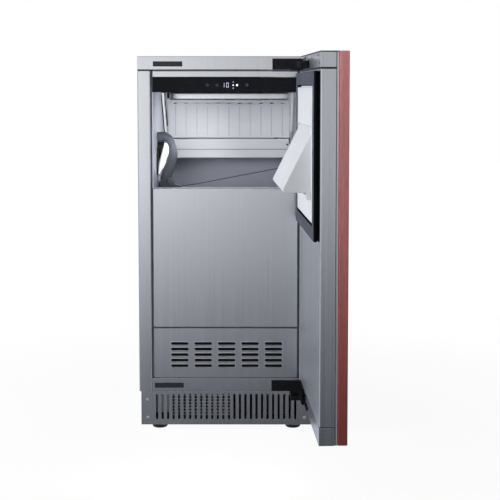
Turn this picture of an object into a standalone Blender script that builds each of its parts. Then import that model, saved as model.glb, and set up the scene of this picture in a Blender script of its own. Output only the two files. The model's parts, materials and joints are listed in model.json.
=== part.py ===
"""Undercounter clear-ice maker, 15-inch class, with its door standing open.

Lengths below are millimetres in cabinet coordinates: X runs from the cabinet's centre
plane to its right side, Y from the plane of its front faces to its rear, Z up from the
floor.  Every mesh is scaled to metres as it is made, and the whole assembly hangs from
one empty, so that the world origin is the middle of the assembly's footprint.
"""
import math

import bmesh
import bpy
from mathutils import Matrix, Vector

MM = 0.001
GAP = 0.3                      # kept between touching pieces
SHEET = 1.2                    # steel sheet

# Cabinet
WIDTH = 378.0
HEIGHT = 831.0
DEPTH = 555.0
HALF = WIDTH / 2
STILE = 28.4                   # width of the folded front stiles
TOE_TOP = 99.5                 # underside of the cabinet above the toe space
TOE_DEPTH = 40.0
BASE_Z = 13.5                  # underside of the base pan and kick plate
RAIL_Z = 800.0                 # underside of the top rail
PANEL_HALF = 156.0             # half width of the panels between the stiles
SILL_Z = 546.0
VENT_TOP = 240.0
VENT_BOTTOM = 129.5
FASCIA_BOTTOM = 754.0
FASCIA_TOP = 784.7

# Ice bin
BIN_HALF = 155.0
BIN_FRONT = 32.0
BIN_REAR = 520.0
BIN_FLOOR = 262.0
BIN_CEILING = 754.0
LINER = 2.5

# Door, in its closed place
DOOR_LEFT = -188.5
DOOR_RIGHT = 188.0
DOOR_BACK = -12.0              # inner face
DOOR_FRONT = -46.8             # outer face of the steel door
WOOD_BACK = -47.1
WOOD_FRONT = -65.8
DOOR_BOTTOM = 99.0
DOOR_TOP = 831.0
CAP_BOTTOM = 134.0             # top of the bottom cap
CAP_TOP = 799.5                # underside of the top cap
PIVOT = Vector((175.25, -24.1, 0.0))
DOOR_ANGLE = math.radians(93.0)

# Gasket and deflector, on the door in its closed place
GASKET_LEFT = -183.0
GASKET_RIGHT = 175.0
GASKET_BOTTOM = 480.0
GASKET_TOP = 795.0
GASKET_WIDTH = 27.0
GASKET_FACE = -0.5
DEFLECTOR_LEFT = -128.0
DEFLECTOR_RIGHT = 139.0
DEFLECTOR_BOTTOM = 566.5
DEFLECTOR_TOP = 689.0
DEFLECTOR_TIP = 52.0

# Hinges
ARM_HALF = 8.0
PIN_RADIUS = 4.0
TOP_ARM = (810.0, 818.0)
BOTTOM_ARM = (97.0, 117.0)

# Fittings and bores, as two coordinates across their axis
VALVE = (-118.0, 62.0)         # X and Z of the water valve in the rear panel
DRAIN = (-60.0, 45.0)          # X and Z of the drain fitting in the rear panel
INLET = (60.0, 62.0)           # X and Z of the power inlet in the rear panel
BIN_DRAIN = (-60.0, 430.0)     # X and Y of the bin's drain
SUCTION_BORE = (128.0, 700.0)  # X and Z where the suction line enters the bin
WATER_BORE = (112.0, 664.0)    # X and Z where the water line enters the bin

# Air openings
LOUVRE_FIRST = (-99.8, 156.6)  # X and Z of the middle of the lowest left louvre
LOUVRE_PITCH = (51.2, 12.3)
LOUVRE_SIZE = (38.4, 5.5)
KICK_SLOTS = 26
KICK_FIRST = -154.0
KICK_PITCH = 12.33
KICK_MIDDLE = 54.0
KICK_SLOT = (57.5, 5.5)

# Ice-making module
MODULE_FRONT = 390.0
CURTAIN_HALF = 146.5
CURTAIN_TOP = 733.5
CURTAIN_BOTTOM = 639.0
CURTAIN_AXIS = Vector((0.0, 392.2, 730.0))
CURTAIN_RIBS = 11
CURTAIN_PITCH = 26.6
TROUGH_BOTTOM = 589.0
TROUGH_TOP = 636.5

# Condenser fan
FAN = Vector((-50.0, 116.0, 115.0))
FAN_RADIUS = 72.0
FAN_BLADES = 5
BLADE_PITCH = math.radians(28)

# Levelling feet
FOOT_X = 150.0
FOOT_Y = (76.0, 520.0)
FOOT_RADIUS = 17.0
STEM_RADIUS = 5.0

# Scoop
SCOOP = Vector((-120.0, 98.0, 0.0))
PEG_TOP = 634.0
BOWL_TOP = 556.0


# ---------------------------------------------------------------- scene and materials

def clear_scene():
    for old in list(bpy.data.objects):
        bpy.data.objects.remove(old, do_unlink=True)


def make_material(name, colour, roughness, metallic=0.0, alpha=1.0):
    material = bpy.data.materials.new(name)
    material.use_nodes = True
    shader = material.node_tree.nodes["Principled BSDF"]
    shader.inputs["Base Color"].default_value = (*colour, 1.0)
    shader.inputs["Roughness"].default_value = roughness
    shader.inputs["Metallic"].default_value = metallic
    shader.inputs["Alpha"].default_value = alpha
    material.diffuse_color = (*colour, alpha)
    return material


def make_finishes():
    """The finishes that pieces share: name -> (colour, roughness, metallic)."""
    table = {
        "stainless": ((0.52, 0.53, 0.55), 0.32, 1.0),
        "galvanised": ((0.45, 0.47, 0.48), 0.45, 1.0),
        "black_plastic": ((0.02, 0.02, 0.023), 0.4, 0.0),
        "black_paint": ((0.015, 0.015, 0.017), 0.35, 0.0),
        "grey_plastic": ((0.16, 0.165, 0.175), 0.35, 0.0),
        "white_plastic": ((0.8, 0.81, 0.83), 0.35, 0.0),
        "liner_plastic": ((0.55, 0.56, 0.58), 0.3, 0.0),
        "foam": ((0.75, 0.68, 0.45), 0.9, 0.0),
        "rubber": ((0.05, 0.052, 0.056), 0.6, 0.0),
        "glass": ((0.012, 0.012, 0.016), 0.08, 0.0),
        "board": ((0.02, 0.16, 0.07), 0.5, 0.0),
        "copper": ((0.72, 0.32, 0.18), 0.3, 1.0),
        "aluminium": ((0.7, 0.71, 0.73), 0.35, 1.0),
        "brass": ((0.7, 0.5, 0.2), 0.3, 1.0),
        "tube_white": ((0.75, 0.76, 0.75), 0.4, 0.0),
        "wood": ((0.23, 0.055, 0.04), 0.35, 0.0),
    }
    return {name: make_material(name, *values) for name, values in table.items()}


# ---------------------------------------------------------------- bodies and pieces

class Body:
    """A rigid group: an empty on the group's axis, and that empty's cabinet coordinates."""

    def __init__(self, name, home, parent=None, turn=0.0):
        self.home = Vector(home)
        self.empty = bpy.data.objects.new(name, None)
        bpy.context.scene.collection.objects.link(self.empty)
        start = parent.home if parent else Vector((0.0, 0.0, 0.0))
        self.empty.parent = parent.empty if parent else None
        self.empty.location = (self.home - start) * MM
        self.empty.rotation_euler = (0.0, 0.0, turn)


def add_object(name, bm, material, body, smooth):
    """Close a bmesh in cabinet millimetres into a named object that hangs from its body."""
    bmesh.ops.translate(bm, verts=bm.verts, vec=-body.home)
    bmesh.ops.scale(bm, verts=bm.verts, vec=(MM, MM, MM))
    bmesh.ops.recalc_face_normals(bm, faces=bm.faces)
    mesh = bpy.data.meshes.new(name)
    bm.to_mesh(mesh)
    bm.free()
    if smooth:
        mesh.shade_smooth()
        mesh.set_sharp_from_angle(angle=math.radians(40))
    piece = bpy.data.objects.new(name, mesh)
    bpy.context.scene.collection.objects.link(piece)
    piece.parent = body.empty
    if material:
        mesh.materials.append(material)
    return piece


def add_piece(name, solid, material, body, smooth=False):
    """One node, from a function that adds a closed solid to a bmesh."""
    bm = bmesh.new()
    solid(bm)
    return add_object(name, bm, material, body, smooth)


def combine(piece, body, operation, solid, label):
    """Join a solid to a piece, or cut it out of the piece, with an exact Boolean."""
    tool = add_piece(f"{piece.name}.{label}", solid, None, body)
    tool.hide_render = True
    tool.display_type = "WIRE"
    modifier = piece.modifiers.new(label, "BOOLEAN")
    modifier.operation = operation
    modifier.solver = "EXACT"
    modifier.object = tool


def cut(piece, body, *solids):
    for index, solid in enumerate(solids):
        combine(piece, body, "DIFFERENCE", solid, f"cut{index}")


def join(piece, body, *solids):
    for index, solid in enumerate(solids):
        combine(piece, body, "UNION", solid, f"join{index}")


# ---------------------------------------------------------------- solids

def place(axis, along, a, b):
    """A point from a distance along the axis and two coordinates of the outline."""
    if axis == "X":
        return Vector((along, a, b))
    if axis == "Y":
        return Vector((a, along, b))
    return Vector((a, b, along))


def prism(axis, low, high, outline):
    """An outline, in the two other axes' coordinates, extruded along an axis."""
    def build(bm):
        ends = []
        for along in (low, high):
            ends.append([bm.verts.new(place(axis, along, a, b)) for a, b in outline])
            bm.faces.new(ends[-1])
        for i, first in enumerate(ends[0]):
            j = (i + 1) % len(outline)
            bm.faces.new((first, ends[0][j], ends[1][j], ends[1][i]))
    return build


def box(low, high):
    corners = [(low[0], low[1]), (high[0], low[1]), (high[0], high[1]), (low[0], high[1])]
    return prism("Z", low[2], high[2], corners)


def arc(centre, radius, start, end, steps):
    """Points of an arc, in degrees."""
    points = []
    for i in range(steps + 1):
        angle = math.radians(start + (end - start) * i / steps)
        points.append((centre[0] + radius * math.cos(angle), centre[1] + radius * math.sin(angle)))
    return points


def circle(centre, radius, sides):
    return arc(centre, radius, 0, 360, sides)[:-1]


def cylinder(axis, low, high, centre, radius, sides=16):
    return prism(axis, low, high, circle(centre, radius, sides))


def turned(axis, centre, profile, sides=20):
    """A solid of revolution; profile holds (distance along the axis, radius) from end to end."""
    def build(bm):
        loops = []
        for along, radius in profile:
            ring = circle(centre, radius, sides)
            loops.append([bm.verts.new(place(axis, along, a, b)) for a, b in ring])
        bm.faces.new(loops[0])
        bm.faces.new(loops[-1])
        for lower, upper in zip(loops, loops[1:]):
            for i in range(sides):
                j = (i + 1) % sides
                bm.faces.new((lower[i], lower[j], upper[j], upper[i]))
    return build


def slot_outline(centre, length, width, upright, steps=4):
    """A slot with round ends."""
    half = (length - width) / 2
    if upright:
        ends = (((centre[0], centre[1] + half), 0), ((centre[0], centre[1] - half), 180))
    else:
        ends = (((centre[0] + half, centre[1]), -90), ((centre[0] - half, centre[1]), 90))
    points = []
    for middle, start in ends:
        points += arc(middle, width / 2, start, start + 180, steps)
    return points


def rounded_path(points, radius, steps=4):
    """A polyline through the points, with each corner turned on an arc."""
    points = [Vector(p) for p in points]
    path = [points[0]]
    for before, corner, after in zip(points, points[1:], points[2:]):
        a = (before - corner).normalized()
        b = (after - corner).normalized()
        opening = a.angle(b)
        reach = radius / math.tan(opening / 2)
        middle = corner + (a + b).normalized() * radius / math.sin(opening / 2)
        start = (corner + a * reach - middle).normalized()
        end = (corner + b * reach - middle).normalized()
        for i in range(steps + 1):
            path.append(middle + start.slerp(end, i / steps) * radius)
    path.append(points[-1])
    return path


def sweep(path, radius, sides=8):
    """A round bar along a path."""
    def build(bm):
        loops = []
        side = (path[1] - path[0]).orthogonal().normalized()
        for i, point in enumerate(path):
            ahead = path[min(i + 1, len(path) - 1)] - path[max(i - 1, 0)]
            ahead.normalize()
            side = (side - ahead * side.dot(ahead)).normalized()
            other = ahead.cross(side)
            loop = []
            for k in range(sides):
                angle = 2 * math.pi * k / sides
                offset = (side * math.cos(angle) + other * math.sin(angle)) * radius
                loop.append(bm.verts.new(point + offset))
            loops.append(loop)
        bm.faces.new(loops[0])
        bm.faces.new(loops[-1])
        for lower, upper in zip(loops, loops[1:]):
            for i in range(sides):
                j = (i + 1) % sides
                bm.faces.new((lower[i], lower[j], upper[j], upper[i]))
    return build


def ribbon(inner, outer, centre_y, width, corner):
    """A bar whose section runs between two curves in X and Z, rounded towards its sides."""
    def build(bm):
        loops = []
        half = width / 2
        for (ax, az), (bx, bz) in zip(inner, outer):
            section = [(0.0, -half + corner), (0.18, -half), (0.82, -half), (1.0, -half + corner),
                       (1.0, half - corner), (0.82, half), (0.18, half), (0.0, half - corner)]
            loops.append([bm.verts.new((ax + (bx - ax) * t, centre_y + y, az + (bz - az) * t))
                          for t, y in section])
        bm.faces.new(loops[0])
        bm.faces.new(loops[-1])
        for lower, upper in zip(loops, loops[1:]):
            for i in range(8):
                j = (i + 1) % 8
                bm.faces.new((lower[i], lower[j], upper[j], upper[i]))
    return build


def spline(points, steps=4):
    """A smooth curve through points in a plane."""
    points = [Vector(p) for p in points]
    curve = []
    for i in range(len(points) - 1):
        a = points[max(i - 1, 0)]
        b = points[i]
        c = points[i + 1]
        d = points[min(i + 2, len(points) - 1)]
        for k in range(steps):
            t = k / steps
            curve.append(0.5 * (2 * b + (c - a) * t + (2 * a - 5 * b + 4 * c - d) * t ** 2
                                + (3 * b - a - 3 * c + d) * t ** 3))
    curve.append(points[-1])
    return [tuple(p) for p in curve]


# ---------------------------------------------------------------- cabinet

def side_panel(name, side, steel, root):
    """Side sheet with its toe notch, and the stile folded from its front edge."""
    outer = side * HALF
    inner = side * (HALF - SHEET)
    fold = side * (HALF - STILE)
    back = fold + side * SHEET
    stile = [(outer, 0), (fold, 0), (fold, 14), (back, 14), (back, SHEET), (inner, SHEET),
             (inner, 60), (outer, 60)]
    sheet = [(1.5, 150), (1.5, HEIGHT - 1.5), (DEPTH - 1.5, HEIGHT - 1.5), (DEPTH - 1.5, BASE_Z),
             (TOE_DEPTH + 1.8, BASE_Z), (TOE_DEPTH + 1.8, TOE_TOP), (40, TOE_TOP), (40, 150)]
    panel = add_piece(name, prism("Z", TOE_TOP, RAIL_Z - GAP, stile), steel, root)
    join(panel, root, prism("X", min(outer, inner), max(outer, inner), sheet))
    return panel


def cabinet_shell(finish, root):
    steel = finish["stainless"]
    side_panel("side_panel_left", -1, steel, root)
    side_panel("side_panel_right", 1, steel, root)
    add_piece("top_panel", box((-HALF, 1.5, HEIGHT - SHEET), (HALF, DEPTH, HEIGHT)), steel, root)
    add_piece("top_rail", box((-HALF, 0, RAIL_Z), (HALF, SHEET, HEIGHT)), steel, root)
    add_piece("header_strip",
              box((-PANEL_HALF, 0, FASCIA_TOP + GAP), (PANEL_HALF, SHEET, RAIL_Z - GAP)), steel, root)

    front = [(0, VENT_TOP + GAP), (SHEET, VENT_TOP + GAP), (SHEET, SILL_Z - SHEET),
             (12, SILL_Z - SHEET), (12, SILL_Z), (0, SILL_Z)]
    add_piece("bin_front_panel", prism("X", -PANEL_HALF, PANEL_HALF, front), steel, root)

    rail = [(0, TOE_TOP), (TOE_DEPTH - GAP, TOE_TOP), (TOE_DEPTH - GAP, TOE_TOP + SHEET),
            (SHEET, TOE_TOP + SHEET), (SHEET, VENT_BOTTOM - GAP), (0, VENT_BOTTOM - GAP)]
    edge = HALF - STILE - GAP
    add_piece("bottom_rail", prism("X", -edge, edge, rail), steel, root)

    pan = [(TOE_DEPTH + 2, BASE_Z), (DEPTH - 1.5, BASE_Z), (DEPTH - 1.5, 25), (DEPTH - 2.7, 25),
           (DEPTH - 2.7, BASE_Z + SHEET), (TOE_DEPTH + 3.2, BASE_Z + SHEET), (TOE_DEPTH + 3.2, 25),
           (TOE_DEPTH + 2, 25)]
    base = add_piece("base_pan", prism("X", -HALF + 1.5, HALF - 1.5, pan), finish["galvanised"], root)
    join(base, root, weld_nuts)
    cut(base, root, feet_bores(10, 30))

    rear = add_piece("rear_panel", box((-HALF, DEPTH - SHEET, BASE_Z), (HALF, DEPTH, HEIGHT - 1.5)),
                     finish["galvanised"], root)
    cut(rear, root, rear_openings)


def weld_nuts(bm):
    """Four nuts welded to the pan, which the foot stems turn in."""
    for x in (-FOOT_X, FOOT_X):
        for y in FOOT_Y:
            cylinder("Z", BASE_Z + 0.5, 23, (x, y), 10, 6)(bm)


def feet_bores(low, high):
    """Clearance holes for the four foot stems."""
    def build(bm):
        for x in (-FOOT_X, FOOT_X):
            for y in FOOT_Y:
                cylinder("Z", low, high, (x, y), STEM_RADIUS + 0.6, 12)(bm)
    return build


def rear_openings(bm):
    """Holes for the water, drain and power fittings, and the exhaust slots above them."""
    for place_xz, radius in ((VALVE, 11.3), (DRAIN, 11.3), (INLET, 15.3)):
        cylinder("Y", DEPTH - 5, DEPTH + 5, place_xz, radius, 16)(bm)
    for row in range(2):
        for column in range(8):
            centre = (-126 + 36 * column, 120 + 40 * row)
            prism("Y", DEPTH - 5, DEPTH + 5, slot_outline(centre, 30, 6, True))(bm)


def kick_slots(bm):
    """Upright air slots in an even row."""
    for i in range(KICK_SLOTS):
        centre = (KICK_FIRST + KICK_PITCH * i, KICK_MIDDLE)
        prism("Y", TOE_DEPTH - 5, TOE_DEPTH + 5, slot_outline(centre, *KICK_SLOT, True))(bm)


def louvre_slots(bm):
    """Five columns by five rows of air slots."""
    for column in range(5):
        for row in range(5):
            x = LOUVRE_FIRST[0] + LOUVRE_PITCH[0] * column
            z = LOUVRE_FIRST[1] + LOUVRE_PITCH[1] * row
            prism("Y", -5, 5, slot_outline((x, z), *LOUVRE_SIZE, False))(bm)


def air_panels(finish, root):
    vent = add_piece("vent_panel", box((-PANEL_HALF, 0, VENT_BOTTOM), (PANEL_HALF, SHEET, VENT_TOP)),
                     finish["stainless"], root)
    cut(vent, root, louvre_slots)
    low = TOE_DEPTH + GAP
    kick = add_piece("kick_plate", box((-HALF, low, BASE_Z), (HALF, low + SHEET, TOE_TOP - GAP)),
                     finish["stainless"], root)
    cut(kick, root, kick_slots)


def insulated_bin(finish, root):
    """Plastic bin liner with its front mouth, and the foam moulded round it."""
    liner = add_piece("bin_liner", box((-BIN_HALF - LINER, 1.5, BIN_FLOOR - LINER),
                                        (BIN_HALF + LINER, BIN_REAR + LINER, BIN_CEILING + LINER)),
                      finish["liner_plastic"], root)
    cut(liner, root,
        box((-BIN_HALF, BIN_FRONT, BIN_FLOOR), (BIN_HALF, BIN_REAR, BIN_CEILING)),
        box((-BIN_HALF, -5, SILL_Z + GAP), (BIN_HALF, BIN_FRONT + 5, BIN_CEILING)),
        box((-170, -5, 200), (170, BIN_FRONT - LINER, SILL_Z - LINER + GAP)),
        box((-170, -6, 205), (170, 12.3, SILL_Z + GAP)),
        box((-171, -7, BIN_CEILING - GAP), (171, 3 + GAP, 770)),
        liner_bores)

    foam_low = (-HALF + 1.5, 1.5, VENT_TOP + 3)
    foam_high = (HALF - 1.5, DEPTH - 1.5, HEIGHT - 1.6)
    foam = add_piece("insulation_foam", box(foam_low, foam_high), finish["foam"], root)
    lip = LINER + GAP
    cut(foam, root,
        box((-BIN_HALF - lip, BIN_FRONT - lip, BIN_FLOOR - lip),
            (BIN_HALF + lip, BIN_REAR + lip, BIN_CEILING + lip)),
        box((-BIN_HALF - lip, -5, SILL_Z - lip), (BIN_HALF + lip, 60, BIN_CEILING + lip)),
        box((-200, -6, 200), (-PANEL_HALF - GAP, 14.3, 860)),
        box((PANEL_HALF + GAP, -6, 200), (200, 14.3, 860)),
        box((-210, -7, BIN_CEILING + LINER), (210, 50.5, 870)),
        box((98, BIN_REAR + 1, 190), (HALF + 9, DEPTH + 9, 725)),
        cylinder("Z", 200, 300, BIN_DRAIN, 11, 12))


def liner_bores(bm):
    """Holes in the liner for the bin drain and for the two lines from the machine space."""
    cylinder("Z", BIN_FLOOR - 10, BIN_FLOOR + 5, BIN_DRAIN, 9, 12)(bm)
    for place_xz in (SUCTION_BORE, WATER_BORE):
        cylinder("Y", BIN_REAR - 5, BIN_REAR + 10, place_xz, 7, 12)(bm)


def controls(finish, root):
    add_piece("control_fascia", box((-PANEL_HALF, 0, FASCIA_BOTTOM), (PANEL_HALF, 3, FASCIA_TOP)),
              finish["glass"], root)
    housing = add_piece("control_housing", box((-154.5, 3.3, 757), (154.5, 50, 798.5)),
                        finish["black_plastic"], root)
    cut(housing, root, box((-152.5, -5, 759), (152.5, 48, 796.5)))
    add_piece("control_board", box((-120, 6, 762), (120, 7.6, 783)), finish["board"], root)


def hinge_hole_covers(finish, root):
    """Two blanks over the unused hinge holes on the left."""
    for name, low in (("hinge_hole_cover_top", 809.0), ("hinge_hole_cover_bottom", 107.9)):
        add_piece(name, box((-155.0, -2.3, low), (-92.0, -GAP, low + 11.0)),
                  finish["black_plastic"], root)


# ---------------------------------------------------------------- hinges

def arm_outline():
    """Plan of a hinge arm: straight out of the cabinet, round about the pin."""
    left = PIVOT.x - ARM_HALF
    right = PIVOT.x + ARM_HALF
    return [(right, -GAP), (left, -GAP)] + arc((PIVOT.x, PIVOT.y), ARM_HALF, 180, 360, 8)


def hinges(finish, root):
    pin = (PIVOT.x, PIVOT.y)
    right = PIVOT.x + ARM_HALF
    top = add_piece("hinge_plate_top", box((101.5, -3.3, 802), (right, -GAP, 826)),
                    finish["black_paint"], root)
    join(top, root, prism("Z", *TOP_ARM, arm_outline()))
    cut(top, root, cylinder("Z", 790, 840, pin, PIN_RADIUS + GAP, 16))

    bottom = add_piece("hinge_plate_bottom", box((100.5, -3.3, 101), (164, -GAP, 125)),
                       finish["black_paint"], root)
    join(bottom, root,
         box((140, -6.6, BOTTOM_ARM[0]), (right, -GAP, BOTTOM_ARM[1])),
         prism("Z", *BOTTOM_ARM, arm_outline()))
    cut(bottom, root, cylinder("Z", BOTTOM_ARM[0] + 3, 140, pin, PIN_RADIUS + GAP, 16))

    seat = BOTTOM_ARM[0] + 3 + GAP
    for name, low, high in (("hinge_pin_top", 803, 829), ("hinge_pin_bottom", seat, 131)):
        add_piece(name, cylinder("Z", low, high, pin, PIN_RADIUS), finish["stainless"], root,
                  smooth=True)


# ---------------------------------------------------------------- door

def door_leaf(finish, door):
    """Steel door: outer pan, inner skin and foam between two end caps, behind a wood panel."""
    steel = finish["stainless"]
    low = CAP_BOTTOM + GAP
    high = CAP_TOP - GAP
    edge = DOOR_BACK - SHEET - GAP
    left = DOOR_LEFT + SHEET
    right = DOOR_RIGHT - SHEET
    pan = [(DOOR_LEFT, edge), (DOOR_LEFT, DOOR_FRONT), (DOOR_RIGHT, DOOR_FRONT), (DOOR_RIGHT, edge),
           (right, edge), (right, DOOR_FRONT + SHEET), (left, DOOR_FRONT + SHEET), (left, edge)]
    add_piece("door_outer_pan", prism("Z", low, high, pan), steel, door)
    add_piece("door_inner_skin", box((DOOR_LEFT, DOOR_BACK - SHEET, low), (DOOR_RIGHT, DOOR_BACK, high)),
              steel, door)
    add_piece("door_foam", box((left + GAP, DOOR_FRONT + SHEET + GAP, low), (right - GAP, edge, high)),
              finish["foam"], door)
    add_piece("wood_panel", box((DOOR_LEFT, WOOD_FRONT, DOOR_BOTTOM), (DOOR_RIGHT, WOOD_BACK, DOOR_TOP)),
              finish["wood"], door)

    pin = (PIVOT.x, PIVOT.y)
    notch = ((163, -42), (200, 0))
    top = add_piece("door_cap_top",
                    box((DOOR_LEFT, DOOR_FRONT, CAP_TOP), (DOOR_RIGHT, DOOR_BACK, DOOR_TOP)),
                    steel, door)
    cut(top, door,
        box((*notch[0], 807), (*notch[1], 821)),
        cylinder("Z", 802, 830, pin, PIN_RADIUS + 0.4, 16))
    bottom = add_piece("door_cap_bottom",
                       box((DOOR_LEFT, DOOR_FRONT, DOOR_BOTTOM), (DOOR_RIGHT, DOOR_BACK, CAP_BOTTOM)),
                       steel, door)
    cut(bottom, door,
        box((*notch[0], 90), (*notch[1], 121)),
        cylinder("Z", 110, 132, pin, PIN_RADIUS + 0.4, 16))


def door_fittings(finish, door):
    """Gasket, white inner panel and the hollow deflector wedge that turns ice back into the bin."""
    back = DOOR_BACK + GAP
    inner = (GASKET_LEFT + GASKET_WIDTH, GASKET_RIGHT - GASKET_WIDTH)
    window = (GASKET_BOTTOM + GASKET_WIDTH, GASKET_TOP - GASKET_WIDTH)
    gasket = add_piece("door_gasket", box((GASKET_LEFT, back, GASKET_BOTTOM),
                                           (GASKET_RIGHT, GASKET_FACE, GASKET_TOP)),
                       finish["rubber"], door)
    cut(gasket, door, box((inner[0], -20, window[0]), (inner[1], 10, window[1])))
    add_piece("door_inner_panel", box((inner[0] + GAP, back, window[0] + GAP),
                                       (inner[1] - GAP, back + 2.7, window[1] - GAP)),
              finish["white_plastic"], door)

    wall = 2.5
    foot = back + 2.7 + GAP
    outline = [(foot, DEFLECTOR_BOTTOM), (DEFLECTOR_TIP, DEFLECTOR_BOTTOM),
               (DEFLECTOR_TIP, DEFLECTOR_BOTTOM + 6), (foot + 2, DEFLECTOR_TOP), (foot, DEFLECTOR_TOP)]
    hollow = [(-30, DEFLECTOR_BOTTOM + wall), (DEFLECTOR_TIP - wall, DEFLECTOR_BOTTOM + wall),
              (DEFLECTOR_TIP - wall, DEFLECTOR_BOTTOM + 4.5), (foot, DEFLECTOR_TOP - 8),
              (-30, DEFLECTOR_TOP - 8)]
    wedge = add_piece("ice_deflector", prism("X", DEFLECTOR_LEFT, DEFLECTOR_RIGHT, outline),
                      finish["white_plastic"], door)
    cut(wedge, door, prism("X", DEFLECTOR_LEFT + wall, DEFLECTOR_RIGHT - wall, hollow))


# ---------------------------------------------------------------- ice-making module

def module_frame(finish, root):
    """Cheeks with the brackets that the curtain hangs from, and the cover between them."""
    cheek = [(235, 752), (336, 655), (372, TROUGH_BOTTOM), (515, TROUGH_BOTTOM), (515, 752)]
    for name, side in (("module_cheek_left", -1), ("module_cheek_right", 1)):
        wall = sorted((side * 154.6, side * 152.8))
        bracket = sorted((side * 153.5, side * 147.2))
        piece = add_piece(name, prism("X", *wall, cheek), finish["white_plastic"], root)
        join(piece, root, box((bracket[0], 384, 723), (bracket[1], 400, 751)))
        bore = sorted((side * 160, 0))
        cut(piece, root, cylinder("X", *bore, (CURTAIN_AXIS.y, CURTAIN_AXIS.z), 2.9, 12))
    cover = [(386, 736), (387.5, 736), (387.5, 749.5), (512, 749.5), (512, 751), (386, 751)]
    add_piece("module_cover", prism("X", -146.8, 146.8, cover), finish["stainless"], root)


def ice_curtain(finish, curtain):
    """Ribbed flap that hangs in front of the evaporator on two stub pins."""
    face = MODULE_FRONT
    outline = [(-CURTAIN_HALF, CURTAIN_BOTTOM), (CURTAIN_HALF, CURTAIN_BOTTOM),
               (CURTAIN_HALF, CURTAIN_TOP), (-CURTAIN_HALF, CURTAIN_TOP)]
    flap = add_piece("ice_curtain", prism("Y", face, face + 3.6, outline),
                     finish["white_plastic"], curtain)
    first = -CURTAIN_PITCH * (CURTAIN_RIBS - 1) / 2

    def ribs(bm):
        for i in range(CURTAIN_RIBS):
            x = first + CURTAIN_PITCH * i
            box((x - 1, face - 1.4, CURTAIN_BOTTOM + 4), (x + 1, face + 1, 719))(bm)

    def dashes(bm):
        for i in range(CURTAIN_RIBS):
            x = first + CURTAIN_PITCH * i
            box((x - 4.5, face - 5, 722.5), (x + 4.5, face + 9, 726))(bm)

    join(flap, curtain, ribs, cylinder("X", -151.5, 151.5, (CURTAIN_AXIS.y, CURTAIN_AXIS.z), 2.3, 12))
    cut(flap, curtain, dashes)


def pocket_plate(bm):
    """Evaporator: a thick plate whose front is divided into square ice pockets."""
    columns = 10
    rows = 4
    low = Vector((-138.0, 440.0, 645.0))
    high = Vector((84.0, 456.0, 728.0))
    xs = [low.x + (high.x - low.x) * i / columns for i in range(columns + 1)]
    zs = [low.z + (high.z - low.z) * i / rows for i in range(rows + 1)]
    front = [[bm.verts.new((x, low.y, z)) for x in xs] for z in zs]
    cells = []
    for r in range(rows):
        for c in range(columns):
            corners = (front[r][c], front[r][c + 1], front[r + 1][c + 1], front[r + 1][c])
            cells.append(bm.faces.new(corners))
    rim = front[0] + [row[-1] for row in front[1:]]
    rim += front[-1][-2::-1] + [row[0] for row in front[-2:0:-1]]
    back = [bm.verts.new((v.co.x, high.y, v.co.z)) for v in rim]
    for i, vert in enumerate(rim):
        j = (i + 1) % len(rim)
        bm.faces.new((vert, rim[j], back[j], back[i]))
    bm.faces.new(back)
    bmesh.ops.recalc_face_normals(bm, faces=bm.faces)
    bmesh.ops.inset_individual(bm, faces=cells, thickness=1.4, depth=0.0)
    pockets = bmesh.ops.extrude_discrete_faces(bm, faces=cells)["faces"]
    for pocket in pockets:
        bmesh.ops.translate(bm, verts=pocket.verts, vec=(0.0, 11.0, 0.0))


def evaporator_path():
    """Corners of the serpentine behind the evaporator plate, from its inlet to its outlet."""
    corners = [(92.0, 460.6, 656.0)]
    for i in range(4):
        z = 656.0 + 20.0 * i
        ends = (74.0, -126.0) if i % 2 == 0 else (-126.0, 74.0)
        if i:
            corners.append((ends[0], 460.6, z))
        if i < 3:
            corners.append((ends[1], 460.6, z))
    return corners


def water_system(finish, root):
    add_piece("evaporator_plate", pocket_plate, finish["aluminium"], root)
    distributor = add_piece("water_distributor", cylinder("X", -136, 84, (446, 738.5), 6.0, 12),
                            finish["white_plastic"], root, smooth=True)
    hose = rounded_path([(82, 446, 738.5), (100, 446, 738.5), (118, 425, 712), (118, 425, 678.6)], 8.0)
    join(distributor, root, sweep(hose, 4.0, 8))
    trough = add_piece("water_trough", box((-150, 392, TROUGH_BOTTOM), (150, 508, TROUGH_TOP)),
                       finish["white_plastic"], root)
    cut(trough, root, box((-147.5, 394.5, TROUGH_BOTTOM + 2.5), (147.5, 505.5, 660)))
    pump = [(594, 12), (612, 12), (612.5, 6), (640, 6), (640.5, 18), (672, 18), (678, 12)]
    add_piece("water_pump", turned("Z", (118, 425), pump, 16), finish["black_plastic"], root,
              smooth=True)
    add_piece("bin_thermostat_probe", cylinder("Y", 160, 330, (149.5, 610), 3.5, 10),
              finish["copper"], root, smooth=True)


# ---------------------------------------------------------------- machine space

def refrigeration(finish, root):
    shell = [(30, 34), (34, 50), (44, 60), (60, 62), (110, 62), (128, 58), (142, 48), (150, 32)]
    compressor = add_piece("compressor", turned("Z", (95, 420), shell, 24),
                           finish["black_paint"], root, smooth=True)
    join(compressor, root, box((30, 352, 24), (160, 488, 31)), compressor_mounts)

    condenser = add_piece("condenser", prism("X", -140, 40, condenser_outline()),
                          finish["aluminium"], root)
    join(condenser, root, condenser_bends)
    shape = [(-30, 4), (-22, 11), (38, 11), (46, 4)]
    drier = add_piece("filter_drier", turned("X", (300, 60), shape, 12), finish["copper"], root,
                      smooth=True)
    liquid = rounded_path([(-160, 85, 60), (-160, 200, 60), (-120, 300, 60), (-28, 300, 60)], 8.0)
    join(drier, root, sweep(liquid, 3.0, 6))


def compressor_mounts(bm):
    """Four grooved feet under the compressor's plate."""
    for x in (42, 148):
        for y in (364, 476):
            turned("Z", (x, y), [(15.0, 9), (17, 10), (19, 7.5), (21, 10), (26, 9)], 12)(bm)


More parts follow.
